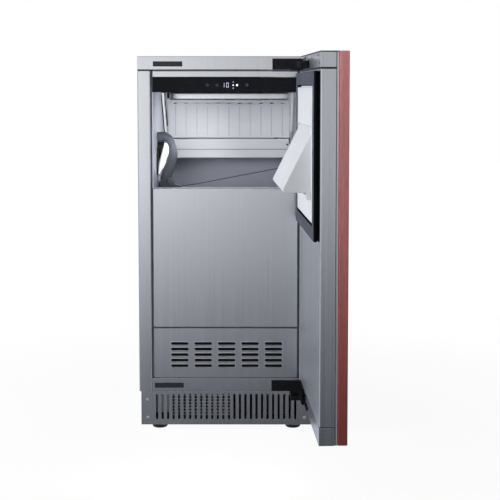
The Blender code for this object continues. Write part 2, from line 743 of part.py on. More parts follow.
def condenser_bends(bm):
    """Return bends of the condenser's tube, on both ends of the fins."""
    for i, side in enumerate((1, -1, 1, -1, 1, -1, 1)):
        x = 38.0 if side > 0 else -138.0
        low = 45.0 + 20.0 * i
        steps = ((0, 0), (6, 1), (10, 10), (6, 19), (0, 20))
        sweep([Vector((x + side * out, 85, low + up)) for out, up in steps], 3.5, 6)(bm)


def condenser_outline():
    """Comb of horizontal fins on an upright spine, in Y and Z."""
    outline = [(100.0, 32.0), (100.0, 196.0)]
    for i in range(16, -1, -1):
        z = 32.0 + 10.0 * i
        outline += [(70.0, z + 4.0), (70.0, z)]
        if i:
            outline += [(94.0, z), (94.0, z - 6.0)]
    return outline


def fan(finish, root, rotor):
    centre = (FAN.x, FAN.z)
    shroud = add_piece("fan_shroud", box((-140, 100.5, 30), (40, 103, 200)),
                       finish["black_plastic"], root)
    join(shroud, root, cylinder("Y", 100.6, 129, centre, FAN_RADIUS + 6, 32))
    cut(shroud, root, cylinder("Y", 90, 140, centre, FAN_RADIUS + 3.5, 32))
    join(shroud, root, box((FAN.x - 77, 128, FAN.z - 8), (FAN.x + 77, 131, FAN.z + 8)))
    combine(shroud, root, "DIFFERENCE", cylinder("Y", 120, 140, centre, 5, 12), "shaft_hole")
    motor = [(131.3, 24), (134, 28), (158, 28), (163, 20)]
    motor_piece = add_piece("fan_motor", turned("Y", centre, motor, 20), finish["black_paint"], root,
                            smooth=True)
    join(motor_piece, root, cylinder("Y", 110, 135, centre, 3, 12))

    wheel = add_piece("fan_wheel", cylinder("Y", 107, 125, centre, 18, 20),
                      finish["black_plastic"], rotor, smooth=True)

    def blades(bm):
        for i in range(FAN_BLADES):
            blade = bmesh.new()
            box((14, -1.2, -17), (FAN_RADIUS, 1.2, 17))(blade)
            pitch = Matrix.Rotation(BLADE_PITCH, 3, "X")
            turn = Matrix.Rotation(2 * math.pi * i / FAN_BLADES, 3, "Y")
            bmesh.ops.rotate(blade, verts=blade.verts, cent=(0, 0, 0), matrix=turn @ pitch)
            bmesh.ops.translate(blade, verts=blade.verts, vec=FAN)
            mesh = bpy.data.meshes.new("blade")
            blade.to_mesh(mesh)
            blade.free()
            bm.from_mesh(mesh)
            bpy.data.meshes.remove(mesh)

    join(wheel, rotor, blades)
    cut(wheel, rotor, cylinder("Y", 90, 140, centre, 3.4, 12))


def lines_and_fittings(finish, root):
    """Refrigerant and water lines, and the fittings of the rear panel."""
    discharge = rounded_path([(95, 355.4, 90), (95, 330, 90), (60, 200, 150), (60, 85, 185),
                              (50.5, 85, 185)], 8.0)
    add_piece("discharge_line", sweep(discharge, 3.0, 6), finish["copper"], root, smooth=True)
    x, z = SUCTION_BORE
    suction = evaporator_path() + [(104, 460.6, 716), (x, 485, z), (x, 538, z), (x, 538, 140),
                                   (95, 505, 100), (95, 484.0, 100)]
    add_piece("evaporator_line", sweep(rounded_path(suction, 8.0, 3), 4.0, 6), finish["copper"], root,
              smooth=True)

    x, z = WATER_BORE
    supply = rounded_path([(-92, 515, 62), (-70, 515, 62), (0, 500, 200), (x, 538, 215), (x, 538, z),
                           (x, 500, z)], 8.0)
    add_piece("water_supply_tube", sweep(supply, 3.2, 8), finish["tube_white"], root, smooth=True)
    drain = rounded_path([(*BIN_DRAIN, 259), (*BIN_DRAIN, 120), (-60, 480, 45), (-60, 535, 45)], 16.0)
    drain_piece = add_piece("drain_tube", sweep(drain, 7.0, 10), finish["tube_white"], root, smooth=True)
    fitting = [(530, 9), (DEPTH - 4, 9), (DEPTH - 3.9, 11), (DEPTH - GAP, 11)]
    join(drain_piece, root, turned("Y", DRAIN, fitting, 16))

    valve = add_piece("water_inlet_valve", box((-138, 495, 42), (-98, 530, 82)),
                      finish["white_plastic"], root)
    join(valve, root, cylinder("Y", 528, DEPTH - GAP, VALVE, 11, 16),
         cylinder("X", -100, -92.5, (515, 62), 5, 12))
    inlet = add_piece("power_inlet", box((40, 520, 46), (80, DEPTH - 1.5, 78)),
                      finish["black_plastic"], root)
    join(inlet, root, cylinder("Y", 545, DEPTH - GAP, INLET, 15, 16))
    add_piece("electrical_box", box((64, 60, 30), (136, 175, 150)), finish["galvanised"], root)


# ---------------------------------------------------------------- feet

def levelling_feet(finish, root):
    """Round pads with a hexagon-sized collar under a threaded stem."""
    pad = [(0, FOOT_RADIUS - 1.5), (2, FOOT_RADIUS), (6, FOOT_RADIUS), (8, 12), (8.1, 9),
           (13.1, 9), (13.2, STEM_RADIUS), (45, STEM_RADIUS)]
    for side, x in (("left", -FOOT_X), ("right", FOOT_X)):
        for end, y in zip(("front", "rear"), FOOT_Y):
            body = Body(f"foot_{end}_{side}_axis", (x, y, 0), root)
            add_piece(f"foot_{end}_{side}", turned("Z", (x, y), pad, 16),
                      finish["black_plastic"], body, smooth=True)


# ---------------------------------------------------------------- scoop

def handle_curves():
    """Three curves in X and Z: inside and outside of the core, and outside of the grip."""
    inner = [(-151.5, 640), (-143, 641), (-136, 634), (-134, 618), (-137, 600), (-144, 582), (-146, 553)]
    middle = [(-151.5, 648), (-139, 648.5), (-128, 638), (-123, 618), (-126, 598), (-132, 578),
              (-135, 553)]
    outer = [(-151.5, 665), (-137, 664), (-121, 647), (-110, 617), (-109, 597), (-114, 572),
             (-119, 560)]
    return spline(inner), spline(middle), spline(outer)


def scoop(finish, root, scoop_body):
    """Scoop with a hooked handle, and the wall peg that it hangs from."""
    holder = add_piece("scoop_holder", box((-154.7, 78, 570), (-152.2, 122, 630)),
                       finish["black_plastic"], root)
    join(holder, root, box((-153, 88, 622), (-140, 108, PEG_TOP)))
    inner, middle, outer = handle_curves()
    core = add_piece("ice_scoop", ribbon(inner, middle, SCOOP.y, 24, 3),
                     finish["white_plastic"], scoop_body, smooth=True)
    end_plate = prism("Z", BOWL_TOP - 6, BOWL_TOP, arc((SCOOP.x, SCOOP.y), 32.0, 90, 270, 12))
    join(core, scoop_body, end_plate, scoop_bowl)
    grip = [(x + 0.4, z + 0.4) for x, z in middle if z > BOWL_TOP + 3]
    outer = outer[:len(grip)]
    add_piece("scoop_grip", ribbon(grip, outer, SCOOP.y, 30, 5), finish["grey_plastic"],
              scoop_body, smooth=True)


def scoop_bowl(bm):
    """Half-round bowl, open towards the middle of the bin and at its lower lip."""
    outside = arc((SCOOP.x, SCOOP.y), 32.0, 90, 270, 12)
    inside = arc((SCOOP.x, SCOOP.y), 29.5, 270, 90, 12)
    prism("Z", 420, BOWL_TOP - 3, outside + inside)(bm)


# ---------------------------------------------------------------- assembly

def assembly_centre():
    """Middle of the footprint of the cabinet with its door at rest."""
    turn = Matrix.Rotation(DOOR_ANGLE, 2)
    reach = []
    for corner in ((DOOR_LEFT, DOOR_BACK), (DOOR_LEFT, WOOD_FRONT), (DOOR_RIGHT, WOOD_FRONT)):
        reach.append(turn @ (Vector(corner) - PIVOT.xy) + PIVOT.xy)
    right = max(p.x for p in reach)
    front = min(p.y for p in reach)
    return Vector(((right - HALF) / 2, (front + DEPTH) / 2, 0.0))


def main():
    clear_scene()
    finish = make_finishes()
    root = Body("cabinet", (0, 0, 0))
    root.empty.location = -assembly_centre() * MM
    door = Body("door_axis", PIVOT, root, turn=DOOR_ANGLE)
    curtain = Body("curtain_axis", CURTAIN_AXIS, root)
    rotor = Body("fan_axis", FAN, root)
    scoop_body = Body("scoop_axis", SCOOP, root)

    cabinet_shell(finish, root)
    air_panels(finish, root)
    insulated_bin(finish, root)
    controls(finish, root)
    hinge_hole_covers(finish, root)
    hinges(finish, root)
    door_leaf(finish, door)
    door_fittings(finish, door)
    module_frame(finish, root)
    ice_curtain(finish, curtain)
    water_system(finish, root)
    refrigeration(finish, root)
    fan(finish, root, rotor)
    lines_and_fittings(finish, root)
    levelling_feet(finish, root)
    scoop(finish, root, scoop_body)


main()
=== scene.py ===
"""Looks of the undercounter ice maker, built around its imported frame.

Pieces are modelled in millimetres in one of two places: the cabinet, whose origin is on the
floor under the middle of its front faces, and the door, which has the cabinet's coordinates
when it is shut.  One matrix for each place puts its pieces in the world.  X runs to the right
as seen from the front, Y towards the back and Z up.
"""
import json
import math

import bmesh
import bpy
from mathutils import Matrix, Vector


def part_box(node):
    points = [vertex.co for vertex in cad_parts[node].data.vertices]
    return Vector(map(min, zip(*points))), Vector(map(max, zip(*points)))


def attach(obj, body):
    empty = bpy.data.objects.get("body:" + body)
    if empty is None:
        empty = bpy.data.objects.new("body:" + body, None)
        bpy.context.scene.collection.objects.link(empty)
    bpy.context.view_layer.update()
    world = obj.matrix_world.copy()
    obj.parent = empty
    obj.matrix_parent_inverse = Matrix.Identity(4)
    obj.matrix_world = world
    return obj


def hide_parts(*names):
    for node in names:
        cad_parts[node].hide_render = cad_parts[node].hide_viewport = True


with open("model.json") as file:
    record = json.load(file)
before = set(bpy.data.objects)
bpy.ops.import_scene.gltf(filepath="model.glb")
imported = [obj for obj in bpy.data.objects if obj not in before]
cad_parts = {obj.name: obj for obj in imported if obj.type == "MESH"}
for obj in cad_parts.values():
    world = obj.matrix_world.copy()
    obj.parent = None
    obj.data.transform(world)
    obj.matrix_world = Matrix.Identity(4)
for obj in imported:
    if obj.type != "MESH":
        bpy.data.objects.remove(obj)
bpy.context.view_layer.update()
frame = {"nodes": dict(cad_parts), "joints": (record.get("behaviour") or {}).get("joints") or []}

NODES = frame["nodes"]
JOINTS = {joint["name"]: joint for joint in frame["joints"]}
MM = 0.001
SHEET = 1.2  # thickness of the steel sheet
HALF = SHEET / 2


# ---- places

class Place:
    """Millimetre coordinates of a group of pieces, and the body that the group rides on."""

    def __init__(self, body, matrix):
        self.body = body
        self.matrix = matrix

    def on(self, body):
        """The same coordinates, for pieces that ride on another body."""
        return Place(body, self.matrix)

    def span(self, node):
        """Lowest and highest corner of a CAD node in these coordinates."""
        inverse = self.matrix.inverted()
        points = [inverse @ vertex.co / MM for vertex in NODES[node].data.vertices]
        low = Vector(min(p[i] for p in points) for i in range(3))
        high = Vector(max(p[i] for p in points) for i in range(3))
        return low, high


def make_places():
    low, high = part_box("top_rail")
    home = Vector(((low.x + high.x) / 2, low.y, 0.0))
    hinge = JOINTS["door_hinge"]
    pivot = Vector(hinge["pos_m"])
    pivot.z = 0.0
    turn = Matrix.Rotation(math.radians(-hinge["range_deg"][0]), 4, "Z")
    cabinet = Place("cabinet", Matrix.Translation(home))
    door = Place("door", Matrix.Translation(pivot) @ turn @ Matrix.Translation(home - pivot))
    return cabinet, door


CABINET, DOOR = make_places()
HOME = CABINET.matrix.translation
TOE_TOP = CABINET.span("bottom_rail")[0].z
RAIL_Z = CABINET.span("top_rail")[0].z
TOP_Z = CABINET.span("top_rail")[1].z


# ---- outlines

def arc(centre, radius, start, end, steps):
    """Points of an arc, in degrees."""
    points = []
    for i in range(steps + 1):
        angle = math.radians(start + (end - start) * i / steps)
        points.append((centre[0] + radius * math.cos(angle), centre[1] + radius * math.sin(angle)))
    return points


def circle(centre, radius, sides):
    return arc(centre, radius, 0, 360, sides)[:-1]


def rectangle(low, high):
    return [(low[0], low[1]), (high[0], low[1]), (high[0], high[1]), (low[0], high[1])]


def slot_outline(centre, length, width, upright, steps=6):
    """A slot with round ends."""
    half = (length - width) / 2
    if upright:
        ends = (((centre[0], centre[1] + half), 0), ((centre[0], centre[1] - half), 180))
    else:
        ends = (((centre[0] + half, centre[1]), -90), ((centre[0] - half, centre[1]), 90))
    points = []
    for middle, start in ends:
        points += arc(middle, width / 2, start, start + 180, steps)
    return points


def rounded_path(points, radius, steps=5):
    """A line through the points, with each corner turned on an arc."""
    points = [Vector(p).to_3d() for p in points]
    path = [points[0]]
    for before, corner, after in zip(points, points[1:], points[2:]):
        a = (before - corner).normalized()
        b = (after - corner).normalized()
        opening = a.angle(b)
        reach = radius / math.tan(opening / 2)
        middle = corner + (a + b).normalized() * radius / math.sin(opening / 2)
        start = (corner + a * reach - middle).normalized()
        end = (corner + b * reach - middle).normalized()
        for i in range(steps + 1):
            path.append(middle + start.slerp(end, i / steps) * radius)
    path.append(points[-1])
    return path


def bent_outline(line, thickness, radius):
    """Section of a sheet bent along a centre line, as a closed outline."""
    path = [p.to_2d() for p in rounded_path(line, radius)]
    one = []
    other = []
    for i, point in enumerate(path):
        ahead = (path[min(i + 1, len(path) - 1)] - path[max(i - 1, 0)]).normalized()
        normal = Vector((-ahead.y, ahead.x)) * thickness / 2
        one.append(tuple(point + normal))
        other.append(tuple(point - normal))
    return one + other[::-1]


def spline(points, steps=6):
    """A smooth curve through points."""
    points = [Vector(p) for p in points]
    curve = []
    for i in range(len(points) - 1):
        a = points[max(i - 1, 0)]
        b = points[i]
        c = points[i + 1]
        d = points[min(i + 2, len(points) - 1)]
        for k in range(steps):
            t = k / steps
            curve.append(0.5 * (2 * b + (c - a) * t + (2 * a - 5 * b + 4 * c - d) * t ** 2
                                + (3 * b - a - 3 * c + d) * t ** 3))
    curve.append(points[-1])
    return curve


# ---- solids

def at(axis, along, a, b):
    """A point from a distance along the axis and the two other coordinates."""
    if axis == "X":
        return Vector((along, a, b))
    if axis == "Y":
        return Vector((a, along, b))
    return Vector((a, b, along))


def bridge(bm, near, far):
    """Quads between two closed loops."""
    for i, vert in enumerate(near):
        j = (i + 1) % len(near)
        bm.faces.new((vert, near[j], far[j], far[i]))


def loft(loops, closed=False):
    """A skin over loops of points; closed joins the last loop to the first."""
    def build(bm):
        rings = [[bm.verts.new(p) for p in loop] for loop in loops]
        for near, far in zip(rings, rings[1:]):
            bridge(bm, near, far)
        if closed:
            bridge(bm, rings[-1], rings[0])
        else:
            bm.faces.new(rings[0])
            bm.faces.new(rings[-1])
    return build


def prism(axis, low, high, outline):
    return loft([[at(axis, along, a, b) for a, b in outline] for along in (low, high)])


def box(low, high):
    return prism("Z", low[2], high[2], rectangle(low, high))


def folded(axis, low, high, line, radius=1.6, thickness=SHEET):
    """Bent sheet, extruded along an axis."""
    return prism(axis, low, high, bent_outline(line, thickness, radius))


def turned(axis, centre, profile, sides=24):
    """A solid of revolution; profile holds (distance along the axis, radius) from end to end."""
    return loft([[at(axis, along, a, b) for a, b in circle(centre, radius, sides)]
                 for along, radius in profile])


def ring_edges(bm, verts):
    """The edges round a closed loop, made where they are missing."""
    pairs = zip(verts, verts[1:] + verts[:1])
    return [bm.edges.get(pair) or bm.edges.new(pair) for pair in pairs]


def perforated(axis, low, high, outline, holes):
    """A plate with holes through it."""
    def build(bm):
        faces = []
        for along in (low, high):
            rings = []
            edges = []
            for ring in (outline, *holes):
                verts = [bm.verts.new(at(axis, along, a, b)) for a, b in ring]
                edges += ring_edges(bm, verts)
                rings.append(verts)
            bmesh.ops.triangle_fill(bm, use_beauty=True, edges=edges)
            faces.append(rings)
        for near, far in zip(*faces):
            bridge(bm, near, far)
    return build


def sweep(path, radius, sides=10, closed=False):
    """A round bar along a path."""
    path = [Vector(p) for p in path]
    count = len(path)
    loops = []
    side = (path[1] - path[0]).orthogonal().normalized()
    for i, point in enumerate(path):
        before = path[i - 1] if closed else path[max(i - 1, 0)]
        after = path[(i + 1) % count] if closed else path[min(i + 1, count - 1)]
        ahead = (after - before).normalized()
        side = (side - ahead * side.dot(ahead)).normalized()
        other = ahead.cross(side)
        loops.append([point + side * a + other * b for a, b in circle((0, 0), radius, sides)])
    return loft(loops, closed)


def mitred_frame(low, high, profile):
    """A closed profile of (inset, depth) carried round a rectangle in X and Z."""
    loops = []
    for inset, depth in profile:
        corners = rectangle((low[0] + inset, low[1] + inset), (high[0] - inset, high[1] - inset))
        loops.append([Vector((x, depth, z)) for x, z in corners])
    return loft(loops, closed=True)


# ---- pieces

MERGE = 1e-6  # metres between points that count as one
FLAT = math.radians(0.3)  # faces at less than this angle are one face


def add_object(name, data):
    """A new object in the scene."""
    made = bpy.data.objects.new(name, data)
    bpy.context.scene.collection.objects.link(made)
    return made


def add_mesh(name, bm):
    """A new object in the scene, with the bmesh as its mesh."""
    mesh = bpy.data.meshes.new(name)
    bm.to_mesh(mesh)
    bm.free()
    return add_object(name, mesh)


def ship(name, place, bm, look, bevel, segments, angle, replaced):
    """Turn a bmesh in the place's millimetres into a finished piece that rides on its body."""
    bmesh.ops.scale(bm, verts=bm.verts, vec=(MM, MM, MM))
    bmesh.ops.recalc_face_normals(bm, faces=bm.faces)
    made = add_mesh(name, bm)
    made.data.shade_smooth()
    made.data.set_sharp_from_angle(angle=math.radians(angle))
    made.data.materials.append(LOOKS[look])
    made.matrix_world = place.matrix
    if bevel:
        edges = made.modifiers.new("edges", "BEVEL")
        edges.width = bevel * MM
        edges.segments = segments
        edges.limit_method = "ANGLE"
        edges.angle_limit = math.radians(angle)
        edges.harden_normals = True
        edges.use_clamp_overlap = True
    flat = made.modifiers.new("flat_faces", "WEIGHTED_NORMAL")
    flat.keep_sharp = True
    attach(made, place.body)
    if replaced:
        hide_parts(replaced)


def piece(name, place, look, slot, *solids, bevel=0.0, segments=2, angle=35, replaced=None):
    bm = bmesh.new()
    for solid in solids:
        solid(bm)
    ship(name, place, bm, look, bevel, segments, angle, replaced)


def refined(node, place, look, bevel=0.4, segments=2, reshape=None):
    """A CAD node's own shape with rounded edges, in its place."""
    bm = bmesh.new()
    bm.from_mesh(NODES[node].data)
    bmesh.ops.remove_doubles(bm, verts=bm.verts, dist=MERGE)
    bmesh.ops.dissolve_limit(bm, angle_limit=FLAT, verts=bm.verts, edges=bm.edges)
    bmesh.ops.transform(bm, matrix=place.matrix.inverted(), verts=bm.verts)
    bmesh.ops.scale(bm, verts=bm.verts, vec=(1 / MM, 1 / MM, 1 / MM))
    if reshape:
        for vert in bm.verts:
            vert.co = reshape(vert.co)
    ship(f"{node}_finish", place, bm, look, bevel, segments, 35, node)


def fused(*groups):
    """Several closed solids as one, by exact Booleans."""
    objects = []
    for group in groups:
        bm = bmesh.new()
        group(bm)
        bmesh.ops.recalc_face_normals(bm, faces=bm.faces)
        objects.append(add_mesh("fused", bm))
    for tool in objects[1:]:
        modifier = objects[0].modifiers.new("join", "BOOLEAN")
        modifier.operation = "UNION"
        modifier.solver = "EXACT"
        modifier.object = tool
    graph = bpy.context.evaluated_depsgraph_get()
    result = bpy.data.meshes.new_from_object(objects[0].evaluated_get(graph))
    for made in objects:
        bpy.data.objects.remove(made)

    def build(bm):
        bm.from_mesh(result)
        bmesh.ops.dissolve_limit(bm, angle_limit=FLAT, verts=bm.verts, edges=bm.edges)
        bpy.data.meshes.remove(result)
    return build


# ---- node trees

def srgb(*values):
    """Linear colour from 8-bit display values."""
    shares = [value / 255 for value in values]
    return tuple(v / 12.92 if v <= 0.04045 else ((v + 0.055) / 1.055) ** 2.4 for v in shares)


def shaded(colour, factor):
    return tuple(min(channel * factor, 1.0) for channel in colour)


class Nodes:
    """A node tree under construction."""

    def __init__(self, tree):
        self.tree = tree

    def new(self, kind, **settings):
        """A node of the kind, with its settings."""
        node = self.tree.nodes.new(f"ShaderNode{kind}")
        for key, value in settings.items():
            setattr(node, key, value)
        return node

    def link(self, source, target):
        self.tree.links.new(source, target)

    def feed(self, source, target):
        """Set a socket to a value, or link an output to it."""
        if isinstance(source, (int, float, tuple)):
            target.default_value = source
        else:
            self.link(source, target)

    def spread(self, source, low, high, start=0.0, end=1.0):
        """A value from start…end turned into one from low…high."""
        node = self.new("MapRange")
        limits = {"From Min": start, "From Max": end, "To Min": low, "To Max": high}
        for key, value in limits.items():
            node.inputs[key].default_value = value
        self.link(source, node.inputs["Value"])
        return node.outputs["Result"]

    def maths(self, operation, a, b):
        node = self.new("Math", operation=operation)
        self.feed(a, node.inputs[0])
        self.feed(b, node.inputs[1])
        return node.outputs["Value"]

    def weigh(self, a, share_a, b, share_b):
        """The sum of two values, each times its share."""
        parts = [self.maths("MULTIPLY", *pair) for pair in ((a, share_a), (b, share_b))]
        return self.maths("ADD", *parts)

    def ramp(self, source, *stops):
        """Colours at places along a value."""
        node = self.new("ValToRGB")
        band = node.color_ramp
        for i, (where, colour) in enumerate(stops):
            stop = band.elements[i] if i < 2 else band.elements.new(where)
            stop.position = where
            stop.color = (*colour, 1.0)
        self.link(source, node.inputs["Fac"])
        return node.outputs["Color"]

    def tint(self, source, colour, start, dark, end, light):
        """The colour times dark…light as the source runs from start to end."""
        return self.ramp(source, (start, shaded(colour, dark)), (end, shaded(colour, light)))

    def mix(self, blend, factor, a, b):
        node = self.new("Mix", data_type="RGBA", blend_type=blend)
        for source, key in ((factor, "Factor"), (a, "A"), (b, "B")):
            self.feed(source, node.inputs[key])
        return node.outputs["Result"]

    def multiply(self, a, b):
        return self.mix("MULTIPLY", 1.0, a, b)


# ---- materials

class Look(Nodes):
    """A procedural material; its lengths are in metres and its scales in turns per metre."""

    def __init__(self, name, **constants):
        self.material = bpy.data.materials.new(name)
        self.material.use_nodes = True
        super().__init__(self.material.node_tree)
        self.shader = self.tree.nodes["Principled BSDF"]
        self.place = self.new("TexCoord").outputs["Object"]
        for key, value in constants.items():
            self.shader.inputs[key.replace("_", " ")].default_value = value

    def noise(self, scale, detail=2.0, roughness=0.5):
        """Noise; scale is one number, or one for each axis."""
        mapping = self.new("Mapping")
        mapping.inputs["Scale"].default_value = scale if isinstance(scale, tuple) else (scale,) * 3
        self.link(self.place, mapping.inputs["Vector"])
        texture = self.new("TexNoise")
        texture.inputs["Scale"].default_value = 1.0
        texture.inputs["Detail"].default_value = detail
        texture.inputs["Roughness"].default_value = roughness
        self.link(mapping.outputs["Vector"], texture.inputs["Vector"])
        return texture.outputs["Fac"]

    def cells(self, scale, feature="F1"):
        texture = self.new("TexVoronoi", feature=feature)
        texture.inputs["Scale"].default_value = scale
        self.link(self.place, texture.inputs["Vector"])
        return texture.outputs["Distance"]

    def axis(self, name):
        """One object coordinate."""
        split = self.new("SeparateXYZ")
        self.link(self.place, split.inputs["Vector"])
        return split.outputs[name]

    def colour(self, source):
        self.link(source, self.shader.inputs["Base Color"])

    def gloss(self, source):
        self.link(source, self.shader.inputs["Roughness"])

    def bump(self, source, depth, strength=1.0):
        node = self.new("Bump")
        node.inputs["Distance"].default_value = depth
        node.inputs["Strength"].default_value = strength
        self.link(source, node.inputs["Height"])
        self.link(node.outputs["Normal"], self.shader.inputs["Normal"])


def brushed(name, colour, roughness, inner=None, contrast=0.04):
    """Brushed stainless sheet with upright grain; inner is its roughness behind the door's edge."""
    look = Look(name, Metallic=1.0)
    fine = look.noise((2600, 2600, 22))
    broad = look.noise((190, 190, 2.2), 3.0)
    smudge = look.noise((7, 7, 5), 4.0)
    grain = look.weigh(fine, 0.5, broad, 0.5)
    look.colour(look.tint(grain, colour, 0.3, 1 - contrast, 0.7, 1 + contrast))
    uneven = look.maths("ADD", look.spread(broad, -0.015, 0.015), look.spread(smudge, -0.03, 0.03))
    if inner is not None:
        edge = DOOR.span("door_inner_skin")[0].x * MM
        roughness = look.spread(look.axis("X"), roughness, inner, edge + 0.002, edge + 0.004)
    look.gloss(look.maths("ADD", uneven, roughness))
    look.bump(broad, 0.000004)
    return look.material


def spangled(name, colour, roughness):
    """Galvanised sheet."""
    look = Look(name, Metallic=1.0)
    flakes = look.cells(160)
    cloud = look.noise(18, 4.0)
    look.colour(look.tint(look.weigh(flakes, 0.6, cloud, 0.5), colour, 0.2, 0.86, 0.8, 1.1))
    look.gloss(look.spread(flakes, roughness - 0.08, roughness + 0.12))
    look.bump(cloud, 0.00008)
    return look.material


def moulded(name, colour, roughness, grain=1400, contrast=0.04, **constants):
    """Moulded plastic: faint flow marks, a fine texture and handling marks in its gloss."""
    look = Look(name, **constants)
    flow = look.noise((9, 9, 14), 4.0)
    skin = look.noise(grain)
    look.colour(look.tint(flow, colour, 0.25, 1 - contrast, 0.75, 1 + contrast))
    fine = look.spread(skin, roughness - 0.03, roughness + 0.03)
    look.gloss(look.maths("ADD", look.spread(flow, -0.05, 0.05), fine))
    look.bump(skin, 0.00003)
    return look.material


HINGE_WALL = (0.150, 0.154)  # X over which painted shade comes in on the bin's wall at the hinge side


def lined(name, colour, roughness):
    """Bin plastic, with painted shade on the wall at the hinge side."""
    look = Look(name)
    flow = look.noise((9, 9, 14), 4.0)
    wall = look.spread(look.axis("X"), 0.0, 1.0, *HINGE_WALL)
    # painted shade: the wall at the hinge side darkened to about a third
    shade = look.ramp(wall, (0.0, (1.0, 1.0, 1.0)), (1.0, (0.3, 0.3, 0.32)))
    look.colour(look.multiply(look.tint(flow, colour, 0.25, 0.96, 0.75, 1.04), shade))
    look.gloss(look.maths("ADD", look.spread(flow, -0.05, 0.05), roughness))
    look.bump(look.noise(500), 0.00004)
    return look.material


GRIP_SPAN = (0.55, 0.67)  # height of the scoop's grip
# shade factors along GRIP_SPAN: painted shade low and high, a painted highlight on the shoulder
GRIP_PAINTED_LIGHT = ((0.0, 0.5), (0.45, 0.62), (0.64, 1.2), (0.78, 1.0), (0.95, 0.55))


def grip_plastic(name, colour, roughness):
    """Satin plastic with painted light by height: a painted highlight on the shoulder of the hook,
    painted shade on its lower arm and on top of the hook.
    """
    look = Look(name)
    flow = look.noise((30, 30, 12), 4.0)
    height = look.spread(look.axis("Z"), 0.0, 1.0, *GRIP_SPAN)
    painted_light = look.ramp(height, *((where, (value,) * 3) for where, value in GRIP_PAINTED_LIGHT))
    look.colour(look.multiply(look.tint(flow, colour, 0.3, 0.88, 0.7, 1.12), painted_light))
    look.gloss(look.spread(flow, roughness - 0.05, roughness + 0.05))
    look.bump(look.noise(500), 0.00003)
    return look.material


def painted(name, colour, roughness):
    """Powder-coated steel with paint lifted off here and there."""
    look = Look(name, Metallic=0.1, Specular_IOR_Level=0.2)
    wear = look.noise(60, 5.0)
    look.colour(look.ramp(wear, (0.3, shaded(colour, 0.85)), (0.66, colour),
                          (0.78, shaded(colour, 2.6))))
    look.gloss(look.spread(wear, roughness - 0.06, roughness + 0.1))
    look.bump(look.noise(900), 0.00006)
    return look.material


def rubbery(name, colour):
    """Gasket rubber with a dusty bloom."""
    look = Look(name, Specular_IOR_Level=0.03)
    bloom = look.noise(26, 5.0)
    look.colour(look.tint(bloom, colour, 0.3, 0.8, 0.75, 1.35))
    look.gloss(look.spread(bloom, 0.55, 0.75))
    look.bump(look.noise(1500), 0.00005)
    return look.material


def dark_glass(name, colour):
    """Black printed glass with finger smears."""
    look = Look(name, Specular_IOR_Level=0.06)
    smear = look.noise((30, 30, 12), 5.0)
    look.colour(look.tint(smear, colour, 0.3, 0.85, 0.8, 1.2))
    look.gloss(look.spread(smear, 0.2, 0.34, 0.3, 0.8))
    return look.material


def grained_wood(name, low, high):
    """Stained and lacquered veneer with upright grain and pores, paler toward the top as a painted
    sheen and darker toward the bottom as painted shade.
    """
    look = Look(name, Coat_Weight=0.5, Coat_Roughness=0.22)
    figure = look.noise((55, 55, 2.4), 6.0, 0.62)
    pores = look.noise((1500, 1500, 40))
    cloud = look.noise((6, 6, 1.6), 3.0)
    # painted light: the veneer colour runs from low at the floor to high at the top
    height = look.spread(look.axis("Z"), 0.0, 1.0, 0.1, TOP_Z * MM)
    base = look.ramp(height, (0.0, low), (1.0, high))
    for layer in (look.ramp(figure, (0.28, (0.76, 0.7, 0.69)), (0.5, (0.95, 0.94, 0.94)),
                            (0.74, (1.12, 1.14, 1.14))),
                  look.ramp(pores, (0.34, (0.72, 0.66, 0.65)), (0.46, (1.0, 1.0, 1.0))),
                  look.ramp(cloud, (0.3, (0.9, 0.88, 0.88)), (0.7, (1.0, 1.0, 1.0)))):
        base = look.multiply(base, layer)
    look.colour(base)
    look.gloss(look.spread(figure, 0.3, 0.44))
    look.bump(pores, 0.00008, 0.5)
    return look.material


def foamed(name, colour):
    look = Look(name, Roughness=0.95)
    look.colour(look.tint(look.noise(25, 4.0), colour, 0.3, 0.85, 0.7, 1.08))
    look.bump(look.cells(420), 0.0006)
    return look.material


def tarnished(name, colour, stain, roughness):
    look = Look(name, Metallic=1.0)
    cloud = look.noise(70, 5.0)
    look.colour(look.ramp(cloud, (0.35, colour), (0.75, stain)))
    look.gloss(look.spread(cloud, roughness - 0.06, roughness + 0.15))
    look.bump(cloud, 0.00004)
    return look.material


def finned(name, colour):
    """Thin aluminium with dust on it."""
    look = Look(name, Metallic=0.3)
    streak = look.noise((8, 8, 300))
    dust = look.noise(45, 5.0)
    dirt = look.ramp(dust, (0.4, (1.0, 1.0, 1.0)), (0.75, (0.72, 0.7, 0.66)))
    look.colour(look.multiply(look.tint(streak, colour, 0.3, 0.8, 0.7, 1.0), dirt))
    look.gloss(look.spread(dust, 0.3, 0.6))
    return look.material


def etched_board(name):
    look = Look(name, Coat_Weight=0.3, Coat_Roughness=0.2)
    tracks = look.cells(130, "DISTANCE_TO_EDGE")
    look.colour(look.ramp(tracks, (0.05, srgb(74, 128, 70)), (0.09, srgb(18, 74, 40))))
    look.gloss(look.spread(tracks, 0.35, 0.55))
    return look.material


def glowing(name, colour, strength):
    """A lit symbol, a little uneven like a printed diffuser."""
    look = Look(name, Roughness=0.4, Emission_Strength=strength)
    tint = look.tint(look.noise(900), colour, 0.2, 0.85, 0.8, 1.0)
    look.colour(tint)
    look.link(tint, look.shader.inputs["Emission Color"])
    return look.material


